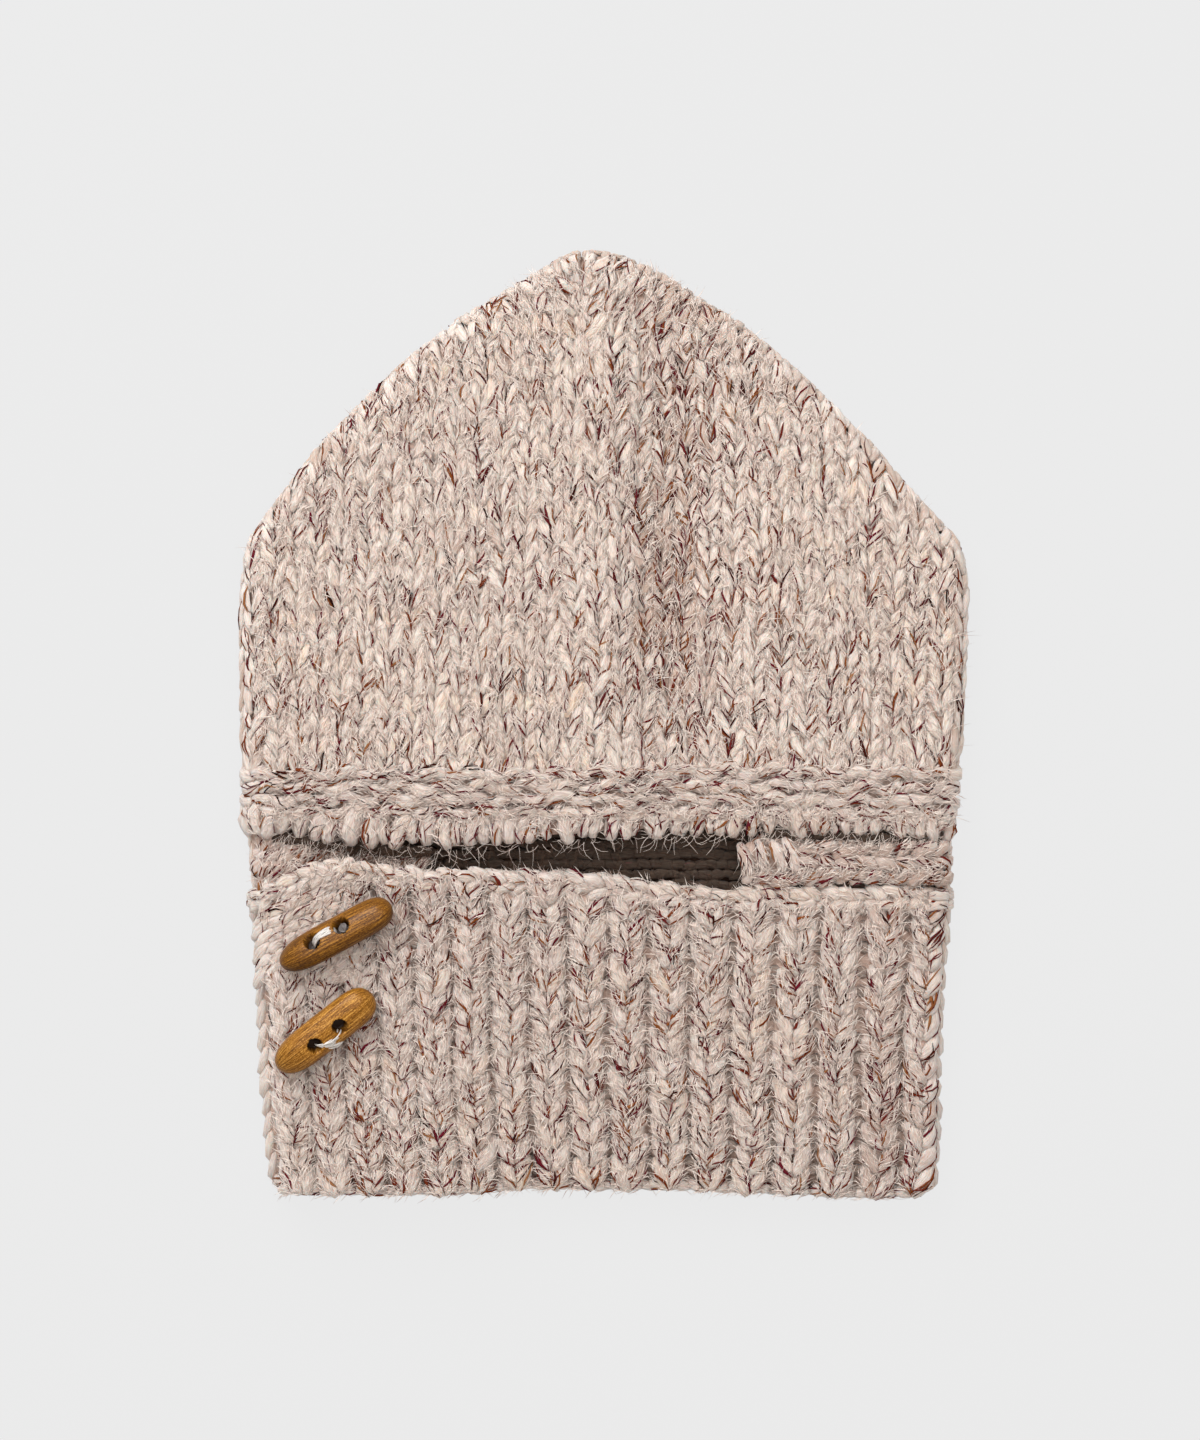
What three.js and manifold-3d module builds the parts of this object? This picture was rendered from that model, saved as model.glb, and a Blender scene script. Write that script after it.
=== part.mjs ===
import * as THREE from "three";
import Module from "manifold-3d";

// Chunky knitted balaclava lying flat on its back, face side up.
// Millimetres. +X is the wearer's left (right of the picture), +Y runs to the peak, +Z is up.
// The origin is on the floor under the middle of the outline.

// Overall sizes
const PEAK_Y = 165.9;
const HEM_Y = -165.9;
const GAP = 0.3;

// Hood pouch
const HOOD_WALL = 6.5;
const HOOD_THICK = 20.5;
const HOOD_FRONT_RIM_Y = -14.0;
const HOOD_BACK_RIM_Y = -57.0;
const HOOD_INNER_PEAK_Y = 152.0;
const FOLD_STEPS = 7;
const FLAT_STEPS = 18;

// Band around the face opening
const BAND_TOP_Y = HOOD_FRONT_RIM_Y - GAP;
const BAND_THICK = 7.2;
const LEFT_CHEEK_THICK = 6.1;
const BAND_RIDGES = 4;
const BAND_RIDGE_DEPTH = 0.9;
const BAND_END_LIFT = 0.55;

// Ribbed neck collar
const COLLAR_WALL = 7.6;
const COLLAR_BACK_TOP_Y = HOOD_BACK_RIM_Y - GAP;
const RIB_DEPTH = 2.3;
const BACK_MID_Z = COLLAR_WALL / 2;
const FRONT_MID_Z = 16.8;
const FLAP_MID_Z = 24.6;
const UNDERLAP_MID_Z = 16.5;
const UNDERLAP_END_X = -66;
const FLAP_EDGE_X = -116;
const FLAP_RISE_START_X = -24;
const FLAP_RISE_END_X = -61;
const HIDDEN_RIBS = 24;

// Wooden toggles
const TOGGLE_THICK = 10;
const TOGGLE_BLUNTNESS = 3.6;
const TOGGLE_RINGS = 14;
const TOGGLE_SIDES = 18;
const THREAD_RADIUS = 1.5;

// Outline of the hood seen from above: one row per height, left and right edges, thickness.
const HOOD_OUTLINE = [
  { y: -57.0, left: -124.5, right: 122.6, thick: 20.5 },
  { y: -40.0, left: -126.8, right: 123.0, thick: 20.5 },
  { y: -14.0, left: -127.3, right: 125.2, thick: 20.5 },
  { y: 10.0, left: -127.7, right: 126.6, thick: 20.5 },
  { y: 30.0, left: -128.1, right: 127.4, thick: 20.5 },
  { y: 46.0, left: -127.8, right: 128.1, thick: 20.5 },
  { y: 58.0, left: -126.4, right: 126.6, thick: 20.5 },
  { y: 64.8, left: -124.4, right: 123.7, thick: 20.5 },
  { y: 72.0, left: -119.2, right: 116.7, thick: 20.5 },
  { y: 85.8, left: -108.9, right: 104.3, thick: 20.5 },
  { y: 99.8, left: -97.7, right: 92.1, thick: 20.5 },
  { y: 113.8, left: -83.7, right: 78.1, thick: 20.5 },
  { y: 127.8, left: -69.0, right: 63.4, thick: 20.5 },
  { y: 141.8, left: -51.1, right: 45.9, thick: 20.5 },
  { y: 148.8, left: -39.6, right: 34.3, thick: 20.0 },
  { y: 155.8, left: -27.4, right: 23.6, thick: 18.5 },
  { y: 160.5, left: -20.0, right: 15.2, thick: 15.5 },
  { y: 163.6, left: -14.6, right: 7.6, thick: 11.5 },
  { y: 165.9, left: -9.0, right: -3.0, thick: 6.0 },
];

// Outline of the collar seen from above.
const COLLAR_OUTLINE = [
  { y: -166.0, left: -115.4, right: 115.4 },
  { y: -159.0, left: -116.9, right: 117.3 },
  { y: -145.0, left: -118.9, right: 118.7 },
  { y: -117.0, left: -121.0, right: 118.9 },
  { y: -96.0, left: -121.8, right: 119.6 },
  { y: -82.0, left: -122.2, right: 120.9 },
  { y: -61.0, left: -124.4, right: 122.2 },
  { y: -47.0, left: -124.8, right: 122.6 },
];
const COLLAR_REFERENCE_Y = -100;

// Top edge of the collar on the front: the lip under the face opening and the flap corner.
const LIP_EDGE = [
  { x: -118.7, y: -66.0 },
  { x: -113.8, y: -58.6 },
  { x: -106.4, y: -51.6 },
  { x: -99.4, y: -48.3 },
  { x: -88.9, y: -47.6 },
  { x: -71.4, y: -48.8 },
  { x: -59.5, y: -50.2 },
  { x: -15.4, y: -51.0 },
  { x: 8.4, y: -53.0 },
  { x: 14.4, y: -54.6 },
  { x: 44.8, y: -57.6 },
  { x: 55.0, y: -56.8 },
  { x: 122.5, y: -56.6 },
];

// Lower edge of the brow band, which is the upper edge of the face opening.
const BROW_LOWER_EDGE = [
  { x: -126.0, y: -37.0 },
  { x: -117.0, y: -36.8 },
  { x: -92.4, y: -41.6 },
  { x: -60.9, y: -42.8 },
  { x: -24.9, y: -41.6 },
  { x: -1.4, y: -39.5 },
  { x: 33.6, y: -38.2 },
  { x: 60.0, y: -36.6 },
  { x: 95.0, y: -37.6 },
  { x: 122.9, y: -40.4 },
];

// Cheek ends of the band, below the opening: the upper and lower edge of each.
const RIGHT_CHEEK = [
  { x: 46.0, upper: -43.5, lower: -54.0 },
  { x: 49.5, upper: -40.2, lower: -55.8 },
  { x: 60.0, upper: -37.4, lower: -56.1 },
  { x: 95.0, upper: -38.4, lower: -56.2 },
  { x: 113.0, upper: -39.8, lower: -56.2 },
  { x: 122.9, upper: -39.2, lower: -56.2 },
];
const LEFT_CHEEK = [
  { x: -126.0, upper: -35.8, lower: -53.6 },
  { x: -117.0, upper: -37.2, lower: -53.6 },
  { x: -104.0, upper: -40.2, lower: -53.8 },
  { x: -90.0, upper: -42.8, lower: -54.0 },
  { x: -66.0, upper: -44.0, lower: -53.6 },
  { x: -63.0, upper: -46.0, lower: -51.0 },
];

// Soft dents and swellings of the hood's front: middle, half widths, depth (minus is a dent).
const HOOD_DENTS = [
  { x: 0, y: 40, halfX: 90, halfY: 80, depth: 1.6 },
  { x: 19, y: 105, halfX: 14, halfY: 24, depth: -1.8 },
  { x: -8, y: 152, halfX: 3.5, halfY: 16, depth: -2.2 },
  { x: -2, y: 98, halfX: 5, halfY: 42, depth: 0.9 },
  { x: -62, y: 6, halfX: 30, halfY: 12, depth: -0.9 },
  { x: 70, y: 20, halfX: 26, halfY: 30, depth: 0.8 },
  { x: -84, y: 60, halfX: 22, halfY: 26, depth: 0.7 },
];

// Toggles: middle on the flap, length, width, turn in plan, roll about the length, hole places.
const TOGGLES = [
  {
    name: "toggle_upper", thread: "toggle_thread_upper", x: -92.4, y: -72.4,
    length: 43.4, width: 12.6, turn: 28.4, roll: 30, holeSpacing: 11.3, holeShift: -2.4,
    holeRadius: 2.8,
  },
  {
    name: "toggle_lower", thread: "toggle_thread_lower", x: -96.2, y: -105.6,
    length: 41.5, width: 13.8, turn: 38.0, roll: -24, holeSpacing: 10.7, holeShift: 0.0,
    holeRadius: 2.6,
  },
];

const wasm = await Module();
wasm.setup();

// Straight-line value of one named column of a table that is sorted on another.
function lookUp(table, key, at, column) {
  const last = table.length - 1;
  if (at <= table[0][key]) {
    return table[0][column];
  }
  for (let i = 1; i <= last; i += 1) {
    if (at <= table[i][key]) {
      const share = (at - table[i - 1][key]) / (table[i][key] - table[i - 1][key]);
      return table[i - 1][column] + share * (table[i][column] - table[i - 1][column]);
    }
  }
  return table[last][column];
}

function smoothStep(edge0, edge1, value) {
  const t = Math.min(1, Math.max(0, (value - edge0) / (edge1 - edge0)));
  return t * t * (3 - 2 * t);
}

// Closed surface from rings of points; each ring is a loop and the two ends are closed by fans.
function loftRings(rings) {
  const positions = [];
  const indices = [];
  const count = rings[0].length;
  for (const ring of rings) {
    for (const point of ring) {
      positions.push(point[0], point[1], point[2]);
    }
  }
  for (let r = 0; r < rings.length - 1; r += 1) {
    for (let c = 0; c < count; c += 1) {
      const next = (c + 1) % count;
      const a = r * count + c;
      const b = r * count + next;
      const d = (r + 1) * count + c;
      const e = (r + 1) * count + next;
      indices.push(a, b, e, a, e, d);
    }
  }
  for (const end of [0, rings.length - 1]) {
    const middle = [0, 0, 0];
    for (const point of rings[end]) {
      middle[0] += point[0] / count;
      middle[1] += point[1] / count;
      middle[2] += point[2] / count;
    }
    const centre = positions.length / 3;
    positions.push(middle[0], middle[1], middle[2]);
    for (let c = 0; c < count; c += 1) {
      const a = end * count + c;
      const b = end * count + ((c + 1) % count);
      if (end === 0) {
        indices.push(centre, b, a);
      } else {
        indices.push(centre, a, b);
      }
    }
  }
  return { positions, indices };
}

function signedVolume(surface) {
  const p = surface.positions;
  let volume = 0;
  for (let i = 0; i < surface.indices.length; i += 3) {
    const a = surface.indices[i] * 3;
    const b = surface.indices[i + 1] * 3;
    const c = surface.indices[i + 2] * 3;
    volume += p[a] * (p[b + 1] * p[c + 2] - p[b + 2] * p[c + 1]);
    volume += p[a + 1] * (p[b + 2] * p[c] - p[b] * p[c + 2]);
    volume += p[a + 2] * (p[b] * p[c + 1] - p[b + 1] * p[c]);
  }
  return volume / 6;
}

function toSolid(surface) {
  const triVerts = Uint32Array.from(surface.indices);
  if (signedVolume(surface) < 0) {
    for (let i = 0; i < triVerts.length; i += 3) {
      const keep = triVerts[i + 1];
      triVerts[i + 1] = triVerts[i + 2];
      triVerts[i + 2] = keep;
    }
  }
  const vertProperties = Float32Array.from(surface.positions);
  const mesh = new wasm.Mesh({ numProp: 3, vertProperties, triVerts });
  mesh.merge();
  return new wasm.Manifold(mesh);
}

function toGeometry(solid) {
  const mesh = solid.getMesh();
  const geometry = new THREE.BufferGeometry();
  const positions = new Float32Array(mesh.numVert * 3);
  for (let i = 0; i < mesh.numVert; i += 1) {
    positions[i * 3] = mesh.vertProperties[i * mesh.numProp];
    positions[i * 3 + 1] = mesh.vertProperties[i * mesh.numProp + 1];
    positions[i * 3 + 2] = mesh.vertProperties[i * mesh.numProp + 2];
  }
  geometry.setAttribute("position", new THREE.BufferAttribute(positions, 3));
  geometry.setIndex(new THREE.BufferAttribute(Uint32Array.from(mesh.triVerts), 1));
  geometry.computeVertexNormals();
  return geometry;
}

// Columns around the flattened hood: front from the left fold to the right, then the back.
function hoodColumns() {
  const columns = [];
  for (let i = 0; i < FOLD_STEPS; i += 1) {
    columns.push({ side: "left", angle: -90 + (180 * i) / FOLD_STEPS });
  }
  for (let i = 0; i < FLAT_STEPS; i += 1) {
    columns.push({ side: "front", share: i / FLAT_STEPS });
  }
  for (let i = 0; i < FOLD_STEPS; i += 1) {
    columns.push({ side: "right", angle: 90 - (180 * i) / FOLD_STEPS });
  }
  for (let i = 0; i < FLAT_STEPS; i += 1) {
    columns.push({ side: "back", share: 1 - i / FLAT_STEPS });
  }
  return columns;
}

// Height that the dents and swellings add to the front layer.
function frontRelief(x, y) {
  let height = 0;
  for (const dent of HOOD_DENTS) {
    const dx = (x - dent.x) / dent.halfX;
    const dy = (y - dent.y) / dent.halfY;
    height += dent.depth * Math.exp(-(dx * dx + dy * dy));
  }
  return height * smoothStep(160, 140, y);
}

// Point of the flattened tube at one height: rounded folds left and right, flat back at z = 0.
function tubePoint(column, y, inset) {
  const slopeStep = 4;
  const left = lookUp(HOOD_OUTLINE, "y", y, "left");
  const right = lookUp(HOOD_OUTLINE, "y", y, "right");
  const radius = lookUp(HOOD_OUTLINE, "y", y, "thick") / 2;
  const run = lookUp(HOOD_OUTLINE, "y", y - slopeStep, "right") - right;
  const slant = Math.hypot(1, Math.max(0, run) / slopeStep);
  const inner = Math.max(0.8, radius - inset);
  const innerAcross = inner - Math.min(6, inset * (slant - 1));
  const leftCentre = left + radius;
  const rightCentre = Math.max(leftCentre + 0.4, right - radius);
  if (column.side === "left" || column.side === "right") {
    const angle = (column.angle * Math.PI) / 180;
    const out = column.side === "left" ? -1 : 1;
    const centre = column.side === "left" ? leftCentre : rightCentre;
    const x = centre + out * Math.cos(angle) * innerAcross;
    const relief = frontRelief(x, y) * Math.max(0, Math.sin(angle));
    return [x, y, radius + Math.sin(angle) * inner + relief];
  }
  const x = leftCentre + (rightCentre - leftCentre) * column.share;
  if (column.side === "front") {
    return [x, y, radius + inner + frontRelief(x, y)];
  }
  return [x, y, radius - inner];
}

function buildHood() {
  const columns = hoodColumns();
  const outerY = [-57, -14, 10, 30, 46, 58, 64.8, 72, 85.8, 99.8, 113.8, 127.8, 141.8, 148.8,
    155.8, 160.5, 163.6, PEAK_Y];
  const innerY = [HOOD_INNER_PEAK_Y, 141.8, 127.8, 113.8, 99.8, 85.8, 72, 58, 46, 30, 10, -14, -57];
  const outer = outerY.map((y) => columns.map((column) => tubePoint(column, y, 0)));
  const cavityY = innerY.slice();
  cavityY[cavityY.length - 1] = HOOD_BACK_RIM_Y - 5;
  const cavity = cavityY.map((y) => columns.map((column) => tubePoint(column, y, HOOD_WALL)));
  const shell = toSolid(loftRings(outer)).subtract(toSolid(loftRings(cavity)));
  const cutHeight = 40;
  const cutLength = HOOD_FRONT_RIM_Y - HOOD_BACK_RIM_Y + 20;
  const cut = wasm.Manifold.cube([300, cutLength, cutHeight], true).translate([
    0, HOOD_FRONT_RIM_Y - cutLength / 2, HOOD_THICK / 2 + GAP / 2 + cutHeight / 2,
  ]);
  return shell.subtract(cut);
}

// Stations of a band across the front, from one fold to the other.
function bandStations(fromX, toX, steps) {
  const stations = [];
  for (let i = 0; i <= steps; i += 1) {
    stations.push(fromX + ((toX - fromX) * i) / steps);
  }
  return stations;
}

// Place on the tube of a point given by its x on the outer surface of the front half.
function frontFrame(x, y) {
  const left = lookUp(HOOD_OUTLINE, "y", y, "left");
  const right = lookUp(HOOD_OUTLINE, "y", y, "right");
  const radius = HOOD_THICK / 2;
  if (x < left + radius) {
    const cosine = Math.min(1, (left + radius - x) / radius);
    const angle = Math.acos(cosine);
    return { cx: left + radius, cz: radius, nx: -Math.cos(angle), nz: Math.sin(angle), radius };
  }
  if (x > right - radius) {
    const cosine = Math.min(1, (x - right + radius) / radius);
    const angle = Math.acos(cosine);
    return { cx: right - radius, cz: radius, nx: Math.cos(angle), nz: Math.sin(angle), radius };
  }
  return { cx: x, cz: radius, nx: 0, nz: 1, radius };
}

// Cross-section loop of a band: ridged outer face, plain inner face, rounded edges.
function bandLoop(x, upper, lower, thick, ridges, thinning) {
  const loop = [];
  const width = upper - lower;
  const steps = ridges * 2;
  const edge = Math.min(1.6, width * 0.2);
  for (let i = 0; i <= steps; i += 1) {
    const share = i / steps;
    const y = upper - edge - (width - 2 * edge) * share;
    const ridge = i % 2 === 0 ? -BAND_RIDGE_DEPTH : 0;
    const swell = Math.sin(Math.PI * share) * 1.2;
    loop.push({ x, y, off: (ridge + swell) * thinning });
  }
  const inner = -thick * thinning;
  loop.push({ x, y: lower, off: inner * 0.45 });
  for (let i = 0; i <= 2; i += 1) {
    loop.push({ x, y: lower + edge + ((width - 2 * edge) * i) / 2, off: inner });
  }
  loop.push({ x, y: upper, off: inner * 0.45 });
  return loop;
}

// One band swept over the stations, keeping above the hood's back half by a small lift.
function sweepBand(stations, upperAt, lowerAt, thick, ridges, drop) {
  const rings = stations.map((x, i) => {
    const end = Math.min(i, stations.length - 1 - i);
    const atFold = Math.abs(x) > 115;
    const thinning = end === 0 && !atFold ? 0.55 : 1;
    const loop = bandLoop(x, upperAt(x), lowerAt(x), thick, ridges, thinning);
    return loop.map((point) => {
      const frame = frontFrame(point.x, point.y);
      const reach = frame.radius - drop + point.off - (1 - thinning) * 2;
      const z = frame.cz + frame.nz * reach;
      return [frame.cx + frame.nx * reach, point.y, Math.max(z, frame.cz + BAND_END_LIFT)];
    });
  });
  return toSolid(loftRings(rings));
}

// The band follows the outline, so its end stations sit just inside the fold at mid height.
function foldStations(side) {
  const edge = side < 0 ? -126.9 : 124.6;
  const radius = HOOD_THICK / 2;
  const angles = [4, 24, 46, 68];
  return angles.map((angle) => {
    const radians = (angle * Math.PI) / 180;
    return edge - side * radius * (1 - Math.cos(radians));
  });
}

function buildFaceBand() {
  const leftFold = foldStations(-1);
  const rightFold = foldStations(1).reverse();
  const browFlat = bandStations(-115.6, 113.4, 24);
  const brow = sweepBand(
    [...leftFold, ...browFlat, ...rightFold],
    () => BAND_TOP_Y,
    (x) => lookUp(BROW_LOWER_EDGE, "x", x, "y"),
    BAND_THICK,
    BAND_RIDGES,
    0,
  );
  const rightCheek = sweepBand(
    [...bandStations(46, 49.5, 1), ...bandStations(55, 113.4, 10), ...rightFold],
    (x) => lookUp(RIGHT_CHEEK, "x", x, "upper"),
    (x) => lookUp(RIGHT_CHEEK, "x", x, "lower"),
    BAND_THICK,
    2,
    0.5,
  );
  const leftCheek = sweepBand(
    [...leftFold, ...bandStations(-115.6, -66, 8), -63],
    (x) => lookUp(LEFT_CHEEK, "x", x, "upper"),
    (x) => lookUp(LEFT_CHEEK, "x", x, "lower"),
    LEFT_CHEEK_THICK,
    2,
    1.6,
  );
  return brow.add(rightCheek).add(leftCheek);
}

// Middle line of the collar wall as a chain of places with their outward direction.
function collarMiddleLine() {
  const left = lookUp(COLLAR_OUTLINE, "y", COLLAR_REFERENCE_Y, "left") + COLLAR_WALL / 2;
  const right = lookUp(COLLAR_OUTLINE, "y", COLLAR_REFERENCE_Y, "right") - COLLAR_WALL / 2;
  const leftRadius = (UNDERLAP_MID_Z - BACK_MID_Z) / 2;
  const rightRadius = (FRONT_MID_Z - BACK_MID_Z) / 2;
  const leftCentre = left + leftRadius;
  const rightCentre = right - rightRadius;
  const underLength = leftCentre * -1 + UNDERLAP_END_X;
  const leftLength = Math.PI * leftRadius;
  const backLength = rightCentre - leftCentre;
  const rightLength = Math.PI * rightRadius;
  const frontLength = rightCentre - FLAP_EDGE_X;
  const starts = [0, underLength, underLength + leftLength];
  starts.push(starts[2] + backLength);
  starts.push(starts[3] + rightLength);
  const total = starts[4] + frontLength;
  const place = (s) => {
    if (s < starts[1]) {
      return { x: UNDERLAP_END_X - s, z: UNDERLAP_MID_Z, nx: 0, nz: 1, layer: "under" };
    }
    if (s < starts[2]) {
      const turn = (s - starts[1]) / leftRadius;
      const nx = -Math.sin(turn);
      const nz = Math.cos(turn);
      const z = BACK_MID_Z + leftRadius + nz * leftRadius;
      return { x: leftCentre + nx * leftRadius, z, nx, nz, layer: "leftFold" };
    }
    if (s < starts[3]) {
      return { x: leftCentre + s - starts[2], z: BACK_MID_Z, nx: 0, nz: -1, layer: "back" };
    }
    if (s < starts[4]) {
      const turn = (s - starts[3]) / rightRadius;
      const nx = Math.sin(turn);
      const nz = -Math.cos(turn);
      const z = BACK_MID_Z + rightRadius + nz * rightRadius;
      return { x: rightCentre + nx * rightRadius, z, nx, nz, layer: "rightFold" };
    }
    const x = rightCentre - (s - starts[4]);
    const rise = smoothStep(FLAP_RISE_START_X, FLAP_RISE_END_X, x);
    const z = FRONT_MID_Z + (FLAP_MID_Z - FRONT_MID_Z) * rise;
    return { x, z, nx: 0, nz: 1, layer: "front" };
  };
  return { place, total, frontStart: starts[4], rightCentre };
}

// Grooves between the ribs as places along the middle line.
function ribGrooves(line) {
  const grooves = [];
  const pitchNearFlap = 12.21;
  const pitchGrowth = 0.124;
  const firstGrooveX = -90.65;
  const frontRibs = 14;
  const lastFrontX = firstGrooveX + pitchNearFlap * frontRibs + pitchGrowth * frontRibs ** 2;
  const hiddenLength = line.frontStart + line.rightCentre - lastFrontX;
  for (let i = 0; i <= HIDDEN_RIBS; i += 1) {
    grooves.push((hiddenLength * i) / HIDDEN_RIBS);
  }
  for (let n = frontRibs - 1; n >= 0; n -= 1) {
    const x = firstGrooveX + pitchNearFlap * n + pitchGrowth * n * n;
    grooves.push(line.frontStart + line.rightCentre - x);
  }
  const flapLeft = line.total - grooves[grooves.length - 1];
  grooves.push(grooves[grooves.length - 1] + flapLeft * 0.5);
  grooves.push(line.total);
  return grooves;
}

// Stations of the collar: four to a rib, a groove and three across its crest.
function collarStations(line) {
  const grooves = ribGrooves(line);
  const shape = [
    { at: 0.0, crest: 0.0 },
    { at: 0.2, crest: 0.85 },
    { at: 0.5, crest: 1.0 },
    { at: 0.8, crest: 0.85 },
  ];
  const stations = [];
  for (let g = 0; g < grooves.length - 1; g += 1) {
    for (const step of shape) {
      const s = grooves[g] + (grooves[g + 1] - grooves[g]) * step.at;
      stations.push({ s, crest: step.crest });
    }
  }
  stations.push({ s: line.total, crest: 0 });
  return stations;
}

function collarTop(place, x) {
  if (place.layer === "front") {
    return lookUp(LIP_EDGE, "x", x, "y");
  }
  if (place.layer === "rightFold") {
    return place.nz > 0.6 ? -56.7 : COLLAR_BACK_TOP_Y;
  }
  if (place.layer === "back") {
    return COLLAR_BACK_TOP_Y;
  }
  if (place.layer === "leftFold") {
    return place.nz > 0.6 ? -54.6 : COLLAR_BACK_TOP_Y;
  }
  return -54.6;
}

// Lower edge of the collar: nearly straight, rounded up at the two folds.
function collarHem(place) {
  const foldRise = place.layer.endsWith("Fold") ? 2.6 * Math.abs(place.nx) : 0;
  const leftRise = place.layer === "front" && place.x < -84 ? 0.7 : 0;
  return HEM_Y + foldRise + leftRise;
}

function buildCollar() {
  const line = collarMiddleLine();
  const stations = collarStations(line);
  const outerShares = [0.0, 0.2, 0.42, 0.64, 0.86, 1.0];
  const innerShares = [1.0, 0.66, 0.33, 0.0];
  const referenceLeft = lookUp(COLLAR_OUTLINE, "y", COLLAR_REFERENCE_Y, "left");
  const referenceRight = lookUp(COLLAR_OUTLINE, "y", COLLAR_REFERENCE_Y, "right");
  const referenceMiddle = (referenceLeft + referenceRight) / 2;
  const edgeRound = 2.4;
  const rings = stations.map((station, index) => {
    const place = line.place(Math.min(station.s, line.total - 0.001));
    const isEnd = index === 0 || index === stations.length - 1;
    const half = COLLAR_WALL / 2;
    const pressed = place.layer === "back" ? Math.min(1, station.crest / 0.85) : station.crest;
    const outer = isEnd ? 1.2 : half - RIB_DEPTH * (1 - pressed);
    const inner = isEnd ? 1.2 : half - RIB_DEPTH * station.crest * 0.8;
    const top = collarTop(place, place.x);
    const hem = collarHem(place);
    const loop = [];
    for (const share of outerShares) {
      loop.push({ y: hem + edgeRound + (top - hem - 2 * edgeRound) * share, off: outer });
    }
    loop.push({ y: top, off: 0 });
    for (const share of innerShares) {
      loop.push({ y: hem + edgeRound + (top - hem - 2 * edgeRound) * share, off: -inner });
    }
    loop.push({ y: hem, off: 0 });
    return loop.map((point) => {
      const left = lookUp(COLLAR_OUTLINE, "y", point.y, "left");
      const right = lookUp(COLLAR_OUTLINE, "y", point.y, "right");
      const scale = (right - left) / (referenceRight - referenceLeft);
      const flatX = place.x + place.nx * point.off;
      const x = (left + right) / 2 + (flatX - referenceMiddle) * scale;
      return [x, point.y, place.z + place.nz * point.off];
    });
  });
  return toSolid(loftRings(rings));
}

// Direction frame of a toggle: along its length, across it, and out through its holes.
function toggleFrame(toggle) {
  const turn = (toggle.turn * Math.PI) / 180;
  const roll = (toggle.roll * Math.PI) / 180;
  const along = new THREE.Vector3(Math.cos(turn), Math.sin(turn), 0);
  const flatAcross = new THREE.Vector3(-Math.sin(turn), Math.cos(turn), 0);
  const across = flatAcross.clone().multiplyScalar(Math.cos(roll));
  across.z = -Math.sin(roll);
  const out = flatAcross.clone().multiplyScalar(Math.sin(roll));
  out.z = Math.cos(roll);
  const halfWidth = toggle.width / 2;
  const halfThick = TOGGLE_THICK / 2;
  const reach = Math.hypot(halfWidth * Math.sin(roll), halfThick * Math.cos(roll));
  const flapTop = FLAP_MID_Z + COLLAR_WALL / 2;
  const middle = new THREE.Vector3(toggle.x, toggle.y, flapTop + GAP + reach);
  return { along, across, out, middle, reach, flapTop };
}

function framePoint(frame, a, b, c) {
  const point = frame.middle.clone();
  point.addScaledVector(frame.along, a);
  point.addScaledVector(frame.across, b);
  point.addScaledVector(frame.out, c);
  return [point.x, point.y, point.z];
}

// Oval wooden bead with two holes bored through its thickness.
function buildToggle(toggle) {
  const frame = toggleFrame(toggle);
  const rings = [];
  for (let r = 0; r <= TOGGLE_RINGS; r += 1) {
    const lean = -Math.cos((Math.PI * (r + 0.35)) / (TOGGLE_RINGS + 0.7));
    const swell = Math.sqrt(1 - Math.abs(lean) ** TOGGLE_BLUNTNESS);
    const ring = [];
    for (let c = 0; c < TOGGLE_SIDES; c += 1) {
      const angle = (2 * Math.PI * c) / TOGGLE_SIDES;
      const b = (toggle.width / 2) * swell * Math.cos(angle);
      const d = (TOGGLE_THICK / 2) * swell * Math.sin(angle);
      ring.push(framePoint(frame, (toggle.length / 2) * lean, b, d));
    }
    rings.push(ring);
  }
  let bead = toSolid(loftRings(rings));
  for (const side of [-0.5, 0.5]) {
    const a = toggle.holeShift + side * toggle.holeSpacing;
    const hole = [];
    for (const c of [-TOGGLE_THICK, TOGGLE_THICK]) {
      const ring = [];
      for (let i = 0; i < 14; i += 1) {
        const angle = (2 * Math.PI * i) / 14;
        const reachA = toggle.holeRadius * Math.cos(angle);
        const reachB = toggle.holeRadius * Math.sin(angle);
        ring.push(framePoint(frame, a + reachA, reachB, c));
      }
      hole.push(ring);
    }
    bead = bead.subtract(toSolid(loftRings(hole)));
  }
  return bead;
}

// Round strand swept along a smooth path through a few places.
function strand(points, radius, steps, sides) {
  const curve = new THREE.CatmullRomCurve3(points, false, "centripetal");
  const frames = curve.computeFrenetFrames(steps, false);
  const rings = [];
  for (let i = 0; i <= steps; i += 1) {
    const centre = curve.getPointAt(i / steps);
    const ring = [];
    for (let c = 0; c < sides; c += 1) {
      const angle = (2 * Math.PI * c) / sides;
      const point = centre.clone();
      point.addScaledVector(frames.normals[i], radius * Math.cos(angle));
      point.addScaledVector(frames.binormals[i], radius * Math.sin(angle));
      ring.push([point.x, point.y, point.z]);
    }
    rings.push(ring);
  }
  return toSolid(loftRings(rings));
}

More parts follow.
